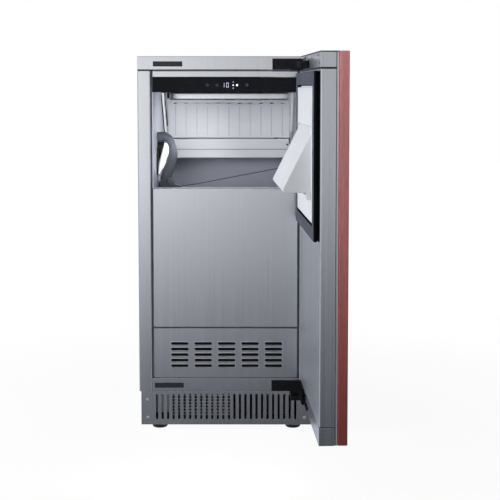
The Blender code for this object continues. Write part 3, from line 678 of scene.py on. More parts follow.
def pale_floor(name):
    """Pale floor that runs out into the white backdrop."""
    look = Look(name, Roughness=0.8, Specular_IOR_Level=0.1)
    look.colour(look.ramp(look.noise(2, 3.0), (0.3, (0.86, 0.86, 0.87)), (0.7, (0.9, 0.9, 0.905))))
    distance = look.new("VectorMath", operation="LENGTH")
    look.link(look.place, distance.inputs[0])
    glow = look.new("Emission")
    glow.inputs["Color"].default_value = (1.0, 1.0, 1.0, 1.0)
    glow.inputs["Strength"].default_value = 1.03
    mix = look.new("MixShader")
    look.link(look.spread(distance.outputs["Value"], 0.9, 1.0, 0.4, 1.6), mix.inputs["Fac"])
    look.link(look.shader.outputs["BSDF"], mix.inputs[1])
    look.link(glow.outputs["Emission"], mix.inputs[2])
    look.link(mix.outputs["Shader"], look.tree.nodes["Material Output"].inputs["Surface"])
    return look.material


def make_looks():
    steel = srgb(214, 216, 221)
    door_steel = srgb(219, 222, 228)
    white = srgb(190, 192, 196)
    bright = srgb(250, 250, 252)
    return {
        "steel": brushed("brushed_steel", steel, 0.23),
        "door_steel": brushed("brushed_door_steel", door_steel, 0.24, contrast=0.12),
        "skin_steel": brushed("satin_skin_steel", door_steel, 0.24, inner=0.4, contrast=0.12),
        "cover_steel": brushed("polished_cover_steel", srgb(222, 224, 229), 0.09),
        "screw_steel": tarnished("screw_steel", srgb(222, 224, 228), srgb(176, 178, 184), 0.26),
        "rib": moulded("shaded_rib_plastic", srgb(186, 189, 196), 0.4),
        "galvanised": spangled("galvanised_steel", srgb(186, 190, 193), 0.42),
        "black_plastic": moulded("black_plastic", srgb(24, 26, 31), 0.42, contrast=0.12),
        # black trim, also used for louvre blades, fin bodies and a web that stand as painted shade
        "trim": moulded("black_trim_and_shade", srgb(16, 17, 21), 0.5, contrast=0.1),
        "black_paint": painted("black_paint", srgb(13, 14, 17), 0.38),
        "liner": lined("bin_liner_plastic", srgb(155, 158, 171), 0.3),
        "white": moulded("white_plastic", white, 0.36, grain=900, Specular_IOR_Level=0.1),
        # whiter than the module plastic: partly a painted highlight on the cheek rims and the scoop's
        # core
        "bright": moulded("polished_white_highlight_plastic", bright, 0.2, grain=900),
        "module": moulded("module_plastic", srgb(213, 215, 220), 0.38, grain=700),
        "grip": grip_plastic("grey_grip_plastic", srgb(72, 76, 85), 0.2),
        "foam": foamed("insulation_foam", srgb(226, 214, 170)),
        "rubber": rubbery("gasket_rubber", srgb(9, 10, 12)),
        # gasket face grey, also used for dark strips that stand as painted shade in gaps and along
        # edges
        "seal_face_and_shade": rubbery("gasket_face", srgb(68, 71, 80)),
        "glass": dark_glass("fascia_glass", srgb(14, 15, 18)),
        "board": etched_board("circuit_board"),
        "copper": tarnished("copper", srgb(214, 140, 100), srgb(120, 78, 60), 0.32),
        "fins": finned("condenser_fins", srgb(212, 214, 218)),
        "tube": moulded("milky_tube", srgb(222, 224, 222), 0.35, Subsurface_Weight=0.1),
        # the wood's painted light runs from shade at the floor to sheen at the top
        "wood": grained_wood("stained_wood", srgb(164, 77, 66), srgb(198, 129, 131)),
        "lamp": glowing("lit_lamp", srgb(244, 244, 255), 1.0),
        "symbol": glowing("lit_symbol", srgb(186, 182, 226), 0.6),
        "dim_symbol": glowing("dim_symbol", srgb(96, 94, 124), 0.16),
        "floor": pale_floor("pale_floor"),
    }


LOOKS = make_looks()


# ---- fasteners

def screw_head(axis, centre, face, radius, height, outward):
    """A pan head that stands on a face, with a crossed recess."""
    dome = [(0.0, radius), (0.35, radius), (0.75, radius * 0.86), (1.0, radius * 0.55)]
    profile = [(face + outward * height * t, r) for t, r in dome]
    top = face + outward * height
    bar = radius * 0.16
    reach = radius * 0.5
    cross = [(-bar, -reach), (bar, -reach), (bar, -bar), (reach, -bar), (reach, bar), (bar, bar),
             (bar, reach), (-bar, reach), (-bar, bar), (-reach, bar), (-reach, -bar), (-bar, -bar)]
    cross = [(centre[0] + a, centre[1] + b) for a, b in cross]

    def build(bm):
        loops = [[bm.verts.new(at(axis, along, a, b)) for a, b in circle(centre, r, 16)]
                 for along, r in profile]
        bm.faces.new(loops[0])
        for near, far in zip(loops, loops[1:]):
            bridge(bm, near, far)
        rim = [bm.verts.new(at(axis, top, a, b)) for a, b in cross]
        floor = [bm.verts.new(at(axis, top - outward * height * 0.5, a, b)) for a, b in cross]
        edges = ring_edges(bm, loops[-1]) + ring_edges(bm, rim)
        bmesh.ops.triangle_fill(bm, use_beauty=True, edges=edges)
        bridge(bm, rim, floor)
        bm.faces.new(floor)
    return build


def screws(name, place, look, face, outward, radius, centres, height=1.6):
    """Screws that stand on a face across Y."""
    heads = [screw_head("Y", centre, face, radius, height, outward) for centre in centres]
    piece(name, place, look, "stainless_cap", *heads)


# ---- cabinet

SEAM = 0.9  # half of the visible gap between neighbouring sheets
STILE_RETURN = 14  # depth of the stile's inner flange
NOTCH = 60  # reach of the side sheet's notch, back and down from its corner
SHADE_STRIP_FRONT = 1.6  # the dark strips in the gaps start this far behind the front faces


def side_panel(side, name):
    """A side sheet folded into the stile at its front edge, notched for the toe space."""
    node = f"side_panel_{name}"
    low, high = CABINET.span(node)
    outer, fold = (high.x, low.x) if side > 0 else (low.x, high.x)
    middle = outer - side * HALF
    flange = fold + side * HALF
    line = [(middle, high.y), (middle, HALF), (flange, HALF), (flange, STILE_RETURN)]
    stile = folded("Z", TOE_TOP, RAIL_Z - SEAM, line, 1.9)
    toe = CABINET.span("kick_plate")[1].y + 0.3
    front = 3.2
    wall = [(front, RAIL_Z - NOTCH), (front, high.z), (high.y, high.z), (high.y, low.z),
            (toe, low.z), (toe, TOE_TOP), (NOTCH, TOE_TOP), (NOTCH, RAIL_Z - NOTCH)]
    wall = prism("X", *sorted((outer, outer - side * SHEET)), wall)
    piece(f"{node}_sheet", CABINET, "steel", "stainless", fused(stile, wall), bevel=0.25,
          replaced=node)


def front_sheet(name, node, line, radius=1.6, bevel=0.3):
    """A folded sheet across the front, as wide as its CAD node."""
    low, high = CABINET.span(node)
    piece(name, CABINET, "steel", "stainless", folded("X", low.x, high.x, line, radius),
          bevel=bevel, replaced=node)


def stile_gap_shade_strips():
    """Dark grey strips behind the gaps between the front sheets, as painted shade in the gaps."""
    stile = CABINET.span("side_panel_right")[0].x - 0.1
    low, high = CABINET.span("vent_panel")
    panel = high.x
    sill = CABINET.span("bin_front_panel")[1].z
    shade_strips = []
    for side in (-1, 1):
        above = sorted((side * (panel + 0.1), side * stile))
        below = sorted((side * (panel - 9), side * stile))
        shade_strips.append(box((above[0], SHADE_STRIP_FRONT, sill - 2), (above[1], 6, TOP_Z - 4)))
        shade_strips.append(box((below[0], SHADE_STRIP_FRONT, low.z + 2), (below[1], 8, sill - 2.2)))
    shade_strips.append(box((-187, SHADE_STRIP_FRONT, RAIL_Z - 0.8), (187, 5, RAIL_Z + 1.6)))
    for bottom, top in ((high.z - 9, high.z + 0.4), (low.z - 4, low.z + 1.5)):
        shade_strips.append(box((0.2 - panel, SHADE_STRIP_FRONT, bottom), (panel - 0.2, 8, top)))
    piece("stile_gap_shade_strips", CABINET, "seal_face_and_shade", "black_plastic", *shade_strips, bevel=0.3)


def cabinet_shell():
    side_panel(-1, "left")
    side_panel(1, "right")
    low, high = CABINET.span("top_rail")
    sill = RAIL_Z + SEAM + HALF
    top = TOP_Z - HALF
    front_sheet("top_rail_sheet", "top_rail", [(12, sill), (HALF, sill), (HALF, top), (7, top)])
    back = CABINET.span("rear_panel")[1].y
    piece("top_panel_sheet", CABINET, "steel", "stainless",
          box((low.x, 7.4, TOP_Z - SHEET), (high.x, back, TOP_Z)), bevel=0.4, replaced="top_panel")

    low, high = CABINET.span("header_strip")
    front_sheet("header_strip_sheet", "header_strip",
                [(6, low.z + 1), (HALF, low.z + 1), (HALF, high.z - 1), (6, high.z - 1)], 1.2)
    low, high = CABINET.span("bin_front_panel")
    front_sheet("bin_front_sheet", "bin_front_panel",
                [(9, low.z + SEAM), (HALF, low.z + SEAM), (HALF, high.z - HALF),
                 (high.y - 0.1, high.z - HALF)], 2.0, 0.4)
    low, high = CABINET.span("bottom_rail")
    front_sheet("bottom_rail_sheet", "bottom_rail",
                [(high.y - 0.2, low.z + HALF), (HALF, low.z + HALF), (HALF, high.z - 0.4)], 1.0)
    stile_gap_shade_strips()
    vent_panel()
    kick_plate()
    refined("base_pan", CABINET, "galvanised", 0.3)
    rear_panel()
    for node in ("hinge_hole_cover_top", "hinge_hole_cover_bottom"):
        refined(node, CABINET, "black_plastic", 0.7, 3)


LOUVRE = (38.4, 6.3)  # length and height of a louvre's opening
LOUVRE_PITCH = (51.2, 12.3)
LOUVRE_FIRST = (-99.8, 156.6)
RIM = 1.2  # a louvre's rim is this much longer and higher than its opening


def vent_panel():
    """Sheet with five columns by five rows of louvres, each with a raised rim and a slanted blade; the
    blades are black, as painted shade inside the slots.
    """
    low, high = CABINET.span("vent_panel")
    holes = []
    rims = []
    blades = []
    for column in range(5):
        for row in range(5):
            x = LOUVRE_FIRST[0] + LOUVRE_PITCH[0] * column
            z = LOUVRE_FIRST[1] + LOUVRE_PITCH[1] * row
            holes.append(slot_outline((x, z), *LOUVRE, False))
            rim = slot_outline((x, z), LOUVRE[0] + RIM, LOUVRE[1] + RIM, False)
            rims.append(sweep([(a, 0.0, b) for a, b in rim], 0.8, 8, closed=True))
            half = LOUVRE[0] / 2 - 1.0
            blade = [(1.4, z - 3.4), (8.5, z + 1.4), (8.5, z + 2.2), (1.4, z - 2.6)]
            blades.append(prism("X", x - half, x + half, blade))
    outline = rectangle((low.x, low.z + SEAM), (high.x, high.z - SEAM))
    piece("vent_panel_sheet", CABINET, "steel", "stainless",
          perforated("Y", 0, SHEET, outline, holes), bevel=0.3, replaced="vent_panel")
    piece("vent_louvre_rims", CABINET, "steel", "stainless", *rims)
    # steel blades drawn in black plastic: painted shade inside the slots
    piece("vent_louvre_blades", CABINET, "trim", "black_plastic", *blades, bevel=0.2)
    piece("vent_backing", CABINET, "trim", "black_plastic",
          box((low.x + 4, 9, low.z + 6), (high.x - 4, 10, high.z - 8)), bevel=0.3)


KICK_SLOTS = 26
KICK_PITCH = 12.33
KICK_SLOT = (57.5, 5.5)  # height and width
KICK_MIDDLE = (0.1, 54.0)  # middle of the row of slots
KICK_SCREWS = [(-174.5, 30), (-174.5, 70), (174.5, 30), (174.5, 70)]


def kick_plate():
    """Recessed plate with a row of upright slots."""
    low, high = CABINET.span("kick_plate")
    first = KICK_MIDDLE[0] - KICK_PITCH * (KICK_SLOTS - 1) / 2
    holes = [slot_outline((first + KICK_PITCH * i, KICK_MIDDLE[1]), *KICK_SLOT, True)
             for i in range(KICK_SLOTS)]
    outline = rectangle((low.x, low.z), (high.x, high.z))
    piece("kick_plate_sheet", CABINET, "steel", "stainless",
          perforated("Y", low.y, high.y, outline, holes), bevel=0.35, replaced="kick_plate")
    screws("kick_plate_screws", CABINET, "screw_steel", low.y, -1, 3.4, KICK_SCREWS)


REAR_FITTINGS = (((-118, 62), 11.3), ((-60, 45), 11.3), ((60, 62), 15.3))  # centre, radius
REAR_SLOT = (30, 6)
REAR_SLOT_FIRST = (-126, 120)
REAR_SLOT_PITCH = (36, 40)


def rear_panel():
    """Galvanised back with two rows of exhaust slots and the fittings' holes."""
    low, high = CABINET.span("rear_panel")
    holes = [circle(centre, radius, 24) for centre, radius in REAR_FITTINGS]
    for row in range(2):
        for column in range(8):
            x = REAR_SLOT_FIRST[0] + REAR_SLOT_PITCH[0] * column
            z = REAR_SLOT_FIRST[1] + REAR_SLOT_PITCH[1] * row
            holes.append(slot_outline((x, z), *REAR_SLOT, True))
    outline = rectangle((low.x, low.z), (high.x, high.z))
    piece("rear_panel_sheet", CABINET, "galvanised", "galvanised",
          perforated("Y", low.y, high.y, outline, holes), bevel=0.4, replaced="rear_panel")


# ---- controls

SYMBOL_Z = 769.1  # height of the middle of the display
PROUD = (-0.25, 0.2)  # front and back of a printed symbol
ONE = ("upper_right", "lower_right")
ZERO = ("top", "bottom", "upper_left", "lower_left", "upper_right", "lower_right")
DIGITS = ((ONE, -6.6, 5.0), (ZERO, 2.4, 5.2))  # strokes, left side, width
DIGIT_HEIGHT = 10.0
DOT_X = 17.4
DOT_RISE = 6.6
LAMPS_X = ((DOT_X, 1.2), (25.7, 2.0))  # place, radius
KEYS_X = (-38.3, -17.5, 46.9)
KEY_RADIUS = 2.3


def segment_digit(strokes, x, z, height, width, stroke=0.8):
    """Bars of a seven-segment digit whose lower left corner is at x, z."""
    middle = z + height / 2
    top = z + height
    right = x + width
    gap = stroke * 0.35
    bars = {
        "top": ((x + gap, top - stroke), (right - gap, top)),
        "bottom": ((x + gap, z), (right - gap, z + stroke)),
        "upper_left": ((x, middle + gap), (x + stroke, top - gap)),
        "lower_left": ((x, z + gap), (x + stroke, middle - gap)),
        "upper_right": ((right - stroke, middle + gap), (right, top - gap)),
        "lower_right": ((right - stroke, z + gap), (right, middle - gap)),
    }
    return [prism("Y", *PROUD, rectangle(*bars[name])) for name in strokes]


def controls():
    """Glass fascia with a two-digit display, its dots and lamps, and three ring-shaped touch keys."""
    refined("control_fascia", CABINET, "glass", 0.6, 3)
    digits = []
    for strokes, x, width in DIGITS:
        digits += segment_digit(strokes, x, SYMBOL_Z - DIGIT_HEIGHT / 2, DIGIT_HEIGHT, width)
    dots = [turned("Y", (DOT_X, SYMBOL_Z + DOT_RISE * i), [(end, 1.0) for end in PROUD], 16)
            for i in (-1, 1)]
    lamps = [turned("Y", (x, SYMBOL_Z), [(-0.3, radius), (0.2, radius + 0.2)], 20)
             for x, radius in LAMPS_X]
    piece("display_digits", CABINET, "symbol", "fascia_glass", *digits)
    piece("display_dots", CABINET, "symbol", "fascia_glass", *dots)
    piece("display_lamps", CABINET, "lamp", "fascia_glass", *lamps)
    rings = [[(a, -0.05, b) for a, b in circle((x, SYMBOL_Z), KEY_RADIUS, 20)] for x in KEYS_X]
    keys = [sweep(ring, 0.3, 6, closed=True) for ring in rings]
    piece("touch_keys", CABINET, "dim_symbol", "fascia_glass", *keys)


# ---- hinges

LINKS = (  # name, look, low corner, high corner, bevel
    ("hinge_link_top", "black_paint", (139, -8.5, 801.5), (168.5, -3.4, 824), 1.5),
    ("hinge_link_cover", "trim", (153, -9.8, 805.5), (168, -8.4, 820), 0.6),
    ("hinge_knuckle_bottom", "black_paint", (141, -31, 87.5), (182, -1.5, 96.8), 1.8),
)
PLATE_FACE = -3.3  # front of the hinge plates, where their screws stand
SCREWS_TOP = [(112, 814), (129, 814)]
SCREWS_BOTTOM = [(110, 113), (127, 113)]


def hinges():
    refined("hinge_plate_top", CABINET, "black_paint", 0.8, 3)
    refined("hinge_plate_bottom", CABINET, "black_paint", 1.6, 3)
    for name, look, low, high, bevel in LINKS:
        piece(name, CABINET, look, "black_paint", box(low, high), bevel=bevel, segments=3)
    screws("hinge_screws_top", CABINET, "black_paint", PLATE_FACE, -1, 3.6, SCREWS_TOP)
    screws("hinge_screws_bottom", CABINET, "black_paint", PLATE_FACE, -1, 3.6, SCREWS_BOTTOM)


# ---- door

GROOVE = 29.3  # depth of the door's steel edge, from its inner face to the groove
DOOR_SEAM = 1.6  # gap between the inner pan and a cap
TRIM = 1.6  # thickness of the trim on the top
ARMS = (  # name, look, slot, X span, thickness, Z span, bevel, segments
    ("door_hinge_arm_top", "rubber", "black_paint", (18, 152), 3.2, (802.5, 817.5), 0.9, 3),
    ("door_hinge_arm_bottom", "rubber", "black_paint", (84, 138.5), 6.8, (101, 123), 2.4, 3),
    ("door_hinge_rod_bottom", "rubber", "black_paint", (24, 86), 2.4, (106, 114), 0.9, 3),
    ("door_hinge_bracket", "screw_steel", "stainless", (62, 126), 1.4, (818.2, 829), 0.5, 2),
)
BRACKET_SCREWS = [(74, 823.5), (104, 823.5)]
CAP_SCREWS = [(-38, 821), (-148, 824), (-176, 809)]


def door_leaf():
    """The door's two pans with foam between them, end caps, wood panel and hinge arms."""
    low, high = DOOR.span("door_outer_pan")
    left, right, front = low.x, high.x, low.y
    back = DOOR.span("door_inner_skin")[1].y
    bottom, cap_bottom = (corner.z for corner in DOOR.span("door_cap_bottom"))
    cap_top, top = (corner.z for corner in DOOR.span("door_cap_top"))
    groove = back - GROOVE

    def pan(edge, face):
        """Section of a pan from its edges to its face."""
        return [(left + HALF, edge), (left + HALF, face), (right - HALF, face), (right - HALF, edge)]

    inner = folded("Z", cap_bottom + DOOR_SEAM / 2, cap_top - DOOR_SEAM, pan(groove, back - HALF), 2.2)
    piece("door_inner_pan", DOOR, "skin_steel", "stainless", inner, bevel=0.3,
          replaced="door_inner_skin")
    outer = folded("Z", bottom + 0.4, top - 1.8, pan(groove - 1.2, front + HALF), 1.4)
    piece("door_outer_sheet", DOOR, "door_steel", "stainless", outer, bevel=0.3,
          replaced="door_outer_pan")
    piece("door_foam_core", DOOR, "foam", "foam",
          box((left + 6, front + 2, cap_bottom + 2), (right - 6, back - 2, cap_top - 2)), bevel=1.0,
          replaced="door_foam")
    edges = []
    for a, b in ((left + 1.3, left + 4), (right - 4, right - 1.3)):
        edges.append(box((a, groove - 3.4, bottom + 1), (b, groove + 3, top - 2)))
    for middle in (cap_top, cap_bottom):
        under, over = middle - 4, middle + 4
        edges.append(box((left + 4.3, groove + 1, under), (right - 4.3, back - 1.2, over)))
        edges.append(box((left + 1.3, groove + 3.3, under), (left + 4.2, back - 1.2, over)))
    piece("door_thermal_break", DOOR, "trim", "black_plastic", *edges)
    piece("door_top_trim", DOOR, "trim", "black_plastic",
          box((left, front, top - TRIM), (right, back, top)), bevel=0.5)

    def shorten(old_low, old_high, new_low, new_high):
        """Move a cap's ends in Z, and its front to the groove."""
        def reshape(co):
            share = (co.z - old_low) / (old_high - old_low)
            return Vector((co.x, max(co.y, groove), new_low + (new_high - new_low) * share))
        return reshape

    refined("door_cap_top", DOOR, "door_steel", 0.8, 3,
            shorten(cap_top, top, cap_top + 1.2, top - 1.9))
    refined("door_cap_bottom", DOOR, "door_steel", 0.8, 3,
            shorten(bottom, cap_bottom, bottom + 0.2, cap_bottom - DOOR_SEAM / 2))
    refined("wood_panel", DOOR, "wood", 1.6, 3)
    for name, look, slot, across, thick, rise, bevel, segments in ARMS:
        piece(name, DOOR, look, slot,
              box((across[0], back + 0.1, rise[0]), (across[1], back + thick, rise[1])),
              bevel=bevel, segments=segments)
    screws("door_bracket_screws", DOOR, "black_paint", back + 1.4, 1, 2.2, BRACKET_SCREWS, 1.0)
    screws("door_cap_screws", DOOR, "black_paint", back, 1, 1.9, CAP_SCREWS, 0.7)


def gasket_profile(width, back, face):
    """Section of the magnetic gasket: a flat face on folding sides."""
    depth = face - back
    side = [(1.8, 0.0), (0.4, 0.12), (2.4, 0.3), (0.5, 0.46), (0.1, 0.72), (0.7, 0.92), (2.2, 1.0)]
    near = [(inset, back + depth * t) for inset, t in side]
    far = [(width - inset, reach) for inset, reach in reversed(near)]
    return near + far


def door_fittings():
    """Gasket, white inner panel and ice deflector."""
    low, high = DOOR.span("door_gasket")
    corners = (low.x, low.z), (high.x, high.z)
    width = DOOR.span("door_inner_panel")[0].x - low.x - 0.3
    bellows = mitred_frame(*corners, gasket_profile(width, low.y, high.y - 1.0))
    piece("door_gasket_bellows", DOOR, "rubber", "gasket", bellows, angle=50,
          replaced="door_gasket")
    lip = mitred_frame(*corners, rectangle((1.2, high.y - 0.9), (width - 1.2, high.y)))
    piece("door_gasket_face", DOOR, "seal_face_and_shade", "gasket", lip, bevel=0.3)

    refined("door_inner_panel", DOOR, "white", 0.8, 3)
    low, high = DOOR.span("door_inner_panel")
    raised = rectangle((low.x + 3, low.z + 3), (high.x - 3, high.z - 3))
    low, high = DOOR.span("ice_deflector")
    opening = rectangle((low.x - 0.5, low.z - 14), (high.x + 0.5, high.z + 0.5))
    piece("door_inner_panel_face", DOOR, "white", "white_plastic",
          perforated("Y", low.y - 0.4, -1.2, raised, [opening]), bevel=2.2, segments=3)
    slope = [(low.y, low.z), (high.y - 3, low.z), (high.y, low.z + 6), (low.y + 2.4, high.z),
             (low.y, high.z)]
    piece("ice_deflector_wedge", DOOR, "white", "white_plastic",
          prism("X", low.x, high.x, slope), bevel=1.4, segments=3, replaced="ice_deflector")
    piece("ice_deflector_tab", DOOR, "white", "white_plastic",
          box((low.x + 1, -1.5, low.z - 13), (low.x + 18, 6.5, low.z + 1)), bevel=1.2, segments=3)


# ---- ice-making module

RIBS = 11
RIB_PITCH = 26.6
CURTAIN_FACE = 390.0  # front of the curtain's flap
CURTAIN_TOP = 733.5
CURTAIN_PIVOT = (392.2, 730.0)
DASH = (9.5, 2.8)  # length and height of a vent above the ribs
DASH_Z = 724.6
RIB_TOP = 718
CHEEK_RIM_X = (149.2, 155.2)
CHEEK_RIM = [(212.5, 752), (310.5, 656), (335.5, 656), (237.5, 752)]
CHEEK_SHADE_LINES = (  # ends of a dark bar of painted shade beside the cheek's rim, its radius and sides
    ([(-151.2, 242, 751), (-151.2, 322, 673)], 4.2, 16),
    ([(-154.6, 206, 751), (-154.6, 304, 656)], 1.6, 10),
)
FLANGE_X = (152.2, 154.4)
FLANGE_LOW = (392, 637)
FLANGE_HIGH = (396, 735)


def curtain():
    """Flap with moulded ribs and a row of vents, on two stub pins."""
    low, high = CABINET.span("ice_curtain")
    left, right = low.x + 0.2, high.x - 0.2
    first = -RIB_PITCH * (RIBS - 1) / 2
    dashes = []
    ribs = []
    for i in range(RIBS):
        x = first + RIB_PITCH * i
        dashes.append(slot_outline((x, DASH_Z), *DASH, False))
        ribs.append(box((x - 0.8, CURTAIN_FACE - 1.1, low.z + 5),
                        (x + 0.8, CURTAIN_FACE + 0.4, RIB_TOP)))
    place = CABINET.on("ice_curtain")
    plate = perforated("Y", CURTAIN_FACE, CURTAIN_FACE + 3.4,
                       rectangle((left, low.z), (right, CURTAIN_TOP)), dashes)
    pins = turned("X", CURTAIN_PIVOT, [(left - 0.1, 2.1), (right + 0.1, 2.1)], 16)
    piece("ice_curtain_flap", place, "module", "white_plastic", plate, bevel=0.5,
          replaced="ice_curtain")
    # ribs in a darker copy of the module plastic: painted shade along the ribs
    piece("ice_curtain_ribs", place, "rib", "white_plastic", *ribs, bevel=0.3)
    piece("ice_curtain_pins", place, "module", "white_plastic", pins)


def module():
    low, high = CABINET.span("module_cover")
    half = 0.7
    line = [(low.y + half, low.z), (low.y + half, high.z - half), (high.y, high.z - half)]
    piece("module_cover_sheet", CABINET, "cover_steel", "stainless",
          folded("X", low.x, high.x, line, 2.4, 2 * half), bevel=0.4, replaced="module_cover")
    for side, name in ((-1, "left"), (1, "right")):
        refined(f"module_cheek_{name}", CABINET, "module", 0.4)
        across = sorted(side * x for x in CHEEK_RIM_X)
        # the rim in a whiter plastic than the cheek: partly a painted highlight
        piece(f"module_cheek_{name}_rim", CABINET, "bright", "white_plastic",
              prism("X", *across, CHEEK_RIM), bevel=0.7, segments=3)
        # dark rubber bars at the left cheek: painted shade lines beside its rim
        if name == "left":
            piece("module_cheek_left_shade_line", CABINET, "rubber", "gasket",
                  *(sweep(*seal) for seal in CHEEK_SHADE_LINES))
        across = sorted(side * x for x in FLANGE_X)
        piece(f"curtain_flange_{name}", CABINET, "module", "white_plastic",
              box((across[0], *FLANGE_LOW), (across[1], *FLANGE_HIGH)), bevel=0.5)
    piece("curtain_stop", CABINET, "trim", "black_plastic",
          box((-154.4, 381.5, 737), (-147.2, 383.8, 751)), bevel=0.6)
    refined("water_trough", CABINET, "module", 0.9, 3)
    # a dark strip across the trough's front: painted shade where its front wall steps back
    piece("water_trough_shade_line", CABINET, "seal_face_and_shade", "gasket",
          box((-149.6, 391.6, 609.6), (149.6, 392.1, 611.0)), bevel=0.15)
    front = CABINET.span("water_trough")[0].y
    screws("water_trough_screw", CABINET, "black_plastic", front, -1, 2.4, [(145.5, 622)], 1.2)
    curtain()


# ---- ice bin and scoop

BIN_REAR = 520.0  # rear wall of the bin, on its inside
BIN_STEP = [(-154.6, 480), (154.6, 480), (154.6, 559), (130, 554.6), (-82, 514), (-154.6, 503)]


def ice_bin():
    """Liner, and a low step with a sloping edge across its rear wall, with a dark bar along that edge
    as a painted shadow line.
    """
    refined("bin_liner", CABINET, "liner", 0.9, 3)
    piece("bin_rear_step", CABINET, "liner", "liner",
          prism("Y", BIN_REAR - 3.0, BIN_REAR - 0.1, BIN_STEP), bevel=1.2, segments=3)
    # painted shadow line along the step's sloping edge
    edge = [(x, BIN_REAR - 3.2, z) for x, z in BIN_STEP[2:]]
    piece("bin_step_shade_line", CABINET, "seal_face_and_shade", "gasket", sweep(edge, 0.9, 8))


SCOOP_Y = 98.0  # middle of the scoop
GRIP_OUTER = [(-153.5, 664.8), (-136.4, 664.6), (-119.7, 651.7), (-111.3, 627.7), (-109.2, 612),
              (-113, 592), (-121, 568), (-129, 536)]
GRIP_INNER = [(-153.5, 643.5), (-137.5, 643.5), (-129.8, 637), (-127.5, 624), (-130.5, 612),
              (-136, 594), (-145.5, 573), (-151.4, 536)]
CORE_HIGHLIGHT_RIGHT = [(-133.8, 641.5), (-128, 631), (-128.3, 619), (-133, 604), (-139, 588), (-150, 570)]
CORE_HIGHLIGHT_LEFT = [(-137.8, 640.5), (-141.5, 628), (-146, 612), (-149.5, 600), (-151.5, 588),
             (-151.8, 574)]
BOWL_X = -120
BOWL_RADII = (32.0, 29.5)  # outside and inside
BOWL_Z = (420, 553.0)
SHOULDER = [(-131, 548), (-131, 564), (-123, 563), (-113.5, 549), (-99, 545), (-99, 541),
            (-120, 543)]
HOOK_SHADE_WEB = [(-154.3, 594), (-154.3, 642.8), (-139, 642.8), (-143.5, 626), (-148.5, 606),
              (-153.2, 594)]


def handle(inner, outer, centre_y, width, steps=20):
    """A bar with a round-cornered section between two smooth curves in X and Z."""
    loops = []
    for near, far in zip(spline(inner), spline(outer)):
        loop = []
        for a, b in circle((0, 0), 1, steps):
            across = 0.5 - 0.5 * math.copysign(abs(a) ** 0.8, a)
            along = math.copysign(abs(b) ** 0.7, b) * width / 2
            middle = near.lerp(far, across)
            loop.append(Vector((middle.x, centre_y + along, middle.y)))
        loops.append(loop)
    return loft(loops)


def scoop():
    """Bowl with a thick hooked grip; a white core on the inside of the hook, partly a pale plastic
    core and partly a painted highlight on the grip.
    """
    place = CABINET.on("ice_scoop")
    # white core along the inside of the hook: partly a painted highlight on the grip
    piece("ice_scoop_core_highlight", place, "bright", "white_plastic",
          handle(CORE_HIGHLIGHT_LEFT, CORE_HIGHLIGHT_RIGHT, SCOOP_Y - 9, 16), angle=60)
    piece("scoop_grip_shell", place, "grip", "scoop_grip",
          handle(GRIP_INNER, GRIP_OUTER, SCOOP_Y, 30), angle=60, replaced="scoop_grip")
    centre = (BOWL_X, SCOOP_Y)
    shell = arc(centre, BOWL_RADII[0], 90, 270, 24) + arc(centre, BOWL_RADII[1], 270, 90, 24)
    piece("ice_scoop_bowl", place, "grip", "scoop_grip", prism("Z", *BOWL_Z, shell), bevel=0.9,
          segments=3, replaced="ice_scoop")
    piece("ice_scoop_shoulder", place, "grip", "scoop_grip",
          prism("Y", SCOOP_Y - 26, SCOOP_Y + 26, SHOULDER), bevel=1.2, segments=3)
    refined("scoop_holder", CABINET, "black_plastic", 1.0, 3)
    # a black web in the hook's opening: painted shade between the grip and the wall
    piece("scoop_hook_shade_web", CABINET, "trim", "black_plastic",
          prism("Y", SCOOP_Y + 2, SCOOP_Y + 12, HOOK_SHADE_WEB), bevel=0.4)


# ---- machine space

FINS = 22
FIN_PITCH = 7.2
FIN_X = (-124, 14)
FIN_Z = 34.0  # lowest fin
TUBE_X = (22, -132)  # the ends between which the tube goes back and forth
TUBE_Y = 85
TUBE_Z = 41.2
TUBE_PASSES = 8


def condenser():
    """Stack of fins on a back-and-forth tube; the fin bodies and the tube are black as painted shade,
    and only the fins' front edges show aluminium.
    """
    low, high = CABINET.span("condenser")
    heights = [FIN_Z + FIN_PITCH * i for i in range(FINS)]
    fins = [box((FIN_X[0], low.y + 0.5, z), (FIN_X[1], high.y - 2, z + 2.2)) for z in heights]
    ends = [box((x, low.y + 1, low.z), (x + 1.4, high.y - 1, high.z))
            for x in (FIN_X[0] - 2, FIN_X[1] + 1)]
    # fin bodies in black: painted shade between the aluminium fins
    piece("condenser_fins", CABINET, "trim", "fins", *fins, *ends, bevel=0.3, replaced="condenser")
    edges = [box((FIN_X[0] + 0.5, low.y + 0.1, z + 0.2), (FIN_X[1] - 0.5, low.y + 0.9, z + 2.6))
             for z in (FIN_Z - FIN_PITCH, *heights)]
    piece("condenser_fin_edges", CABINET, "fins", "fins", *edges, bevel=0.15)
    bracket = [(-160, 98), (-160, low.y + 2), (-128.5, low.y + 2)]
    piece("condenser_bracket", CABINET, "galvanised", "galvanised",
          folded("Z", low.z, high.z, bracket), bevel=0.3)
    turns = []
    for i in range(TUBE_PASSES):
        near, far = TUBE_X if i % 2 == 0 else TUBE_X[::-1]
        z = TUBE_Z + 2 * FIN_PITCH * i
        turns += [(near, TUBE_Y, z), (far, TUBE_Y, z)]
    # the copper tube in black paint: painted shade behind the slots
    piece("condenser_tube", CABINET, "black_paint", "black_paint",
          sweep(rounded_path(turns, 7.0), 3.4, 10))


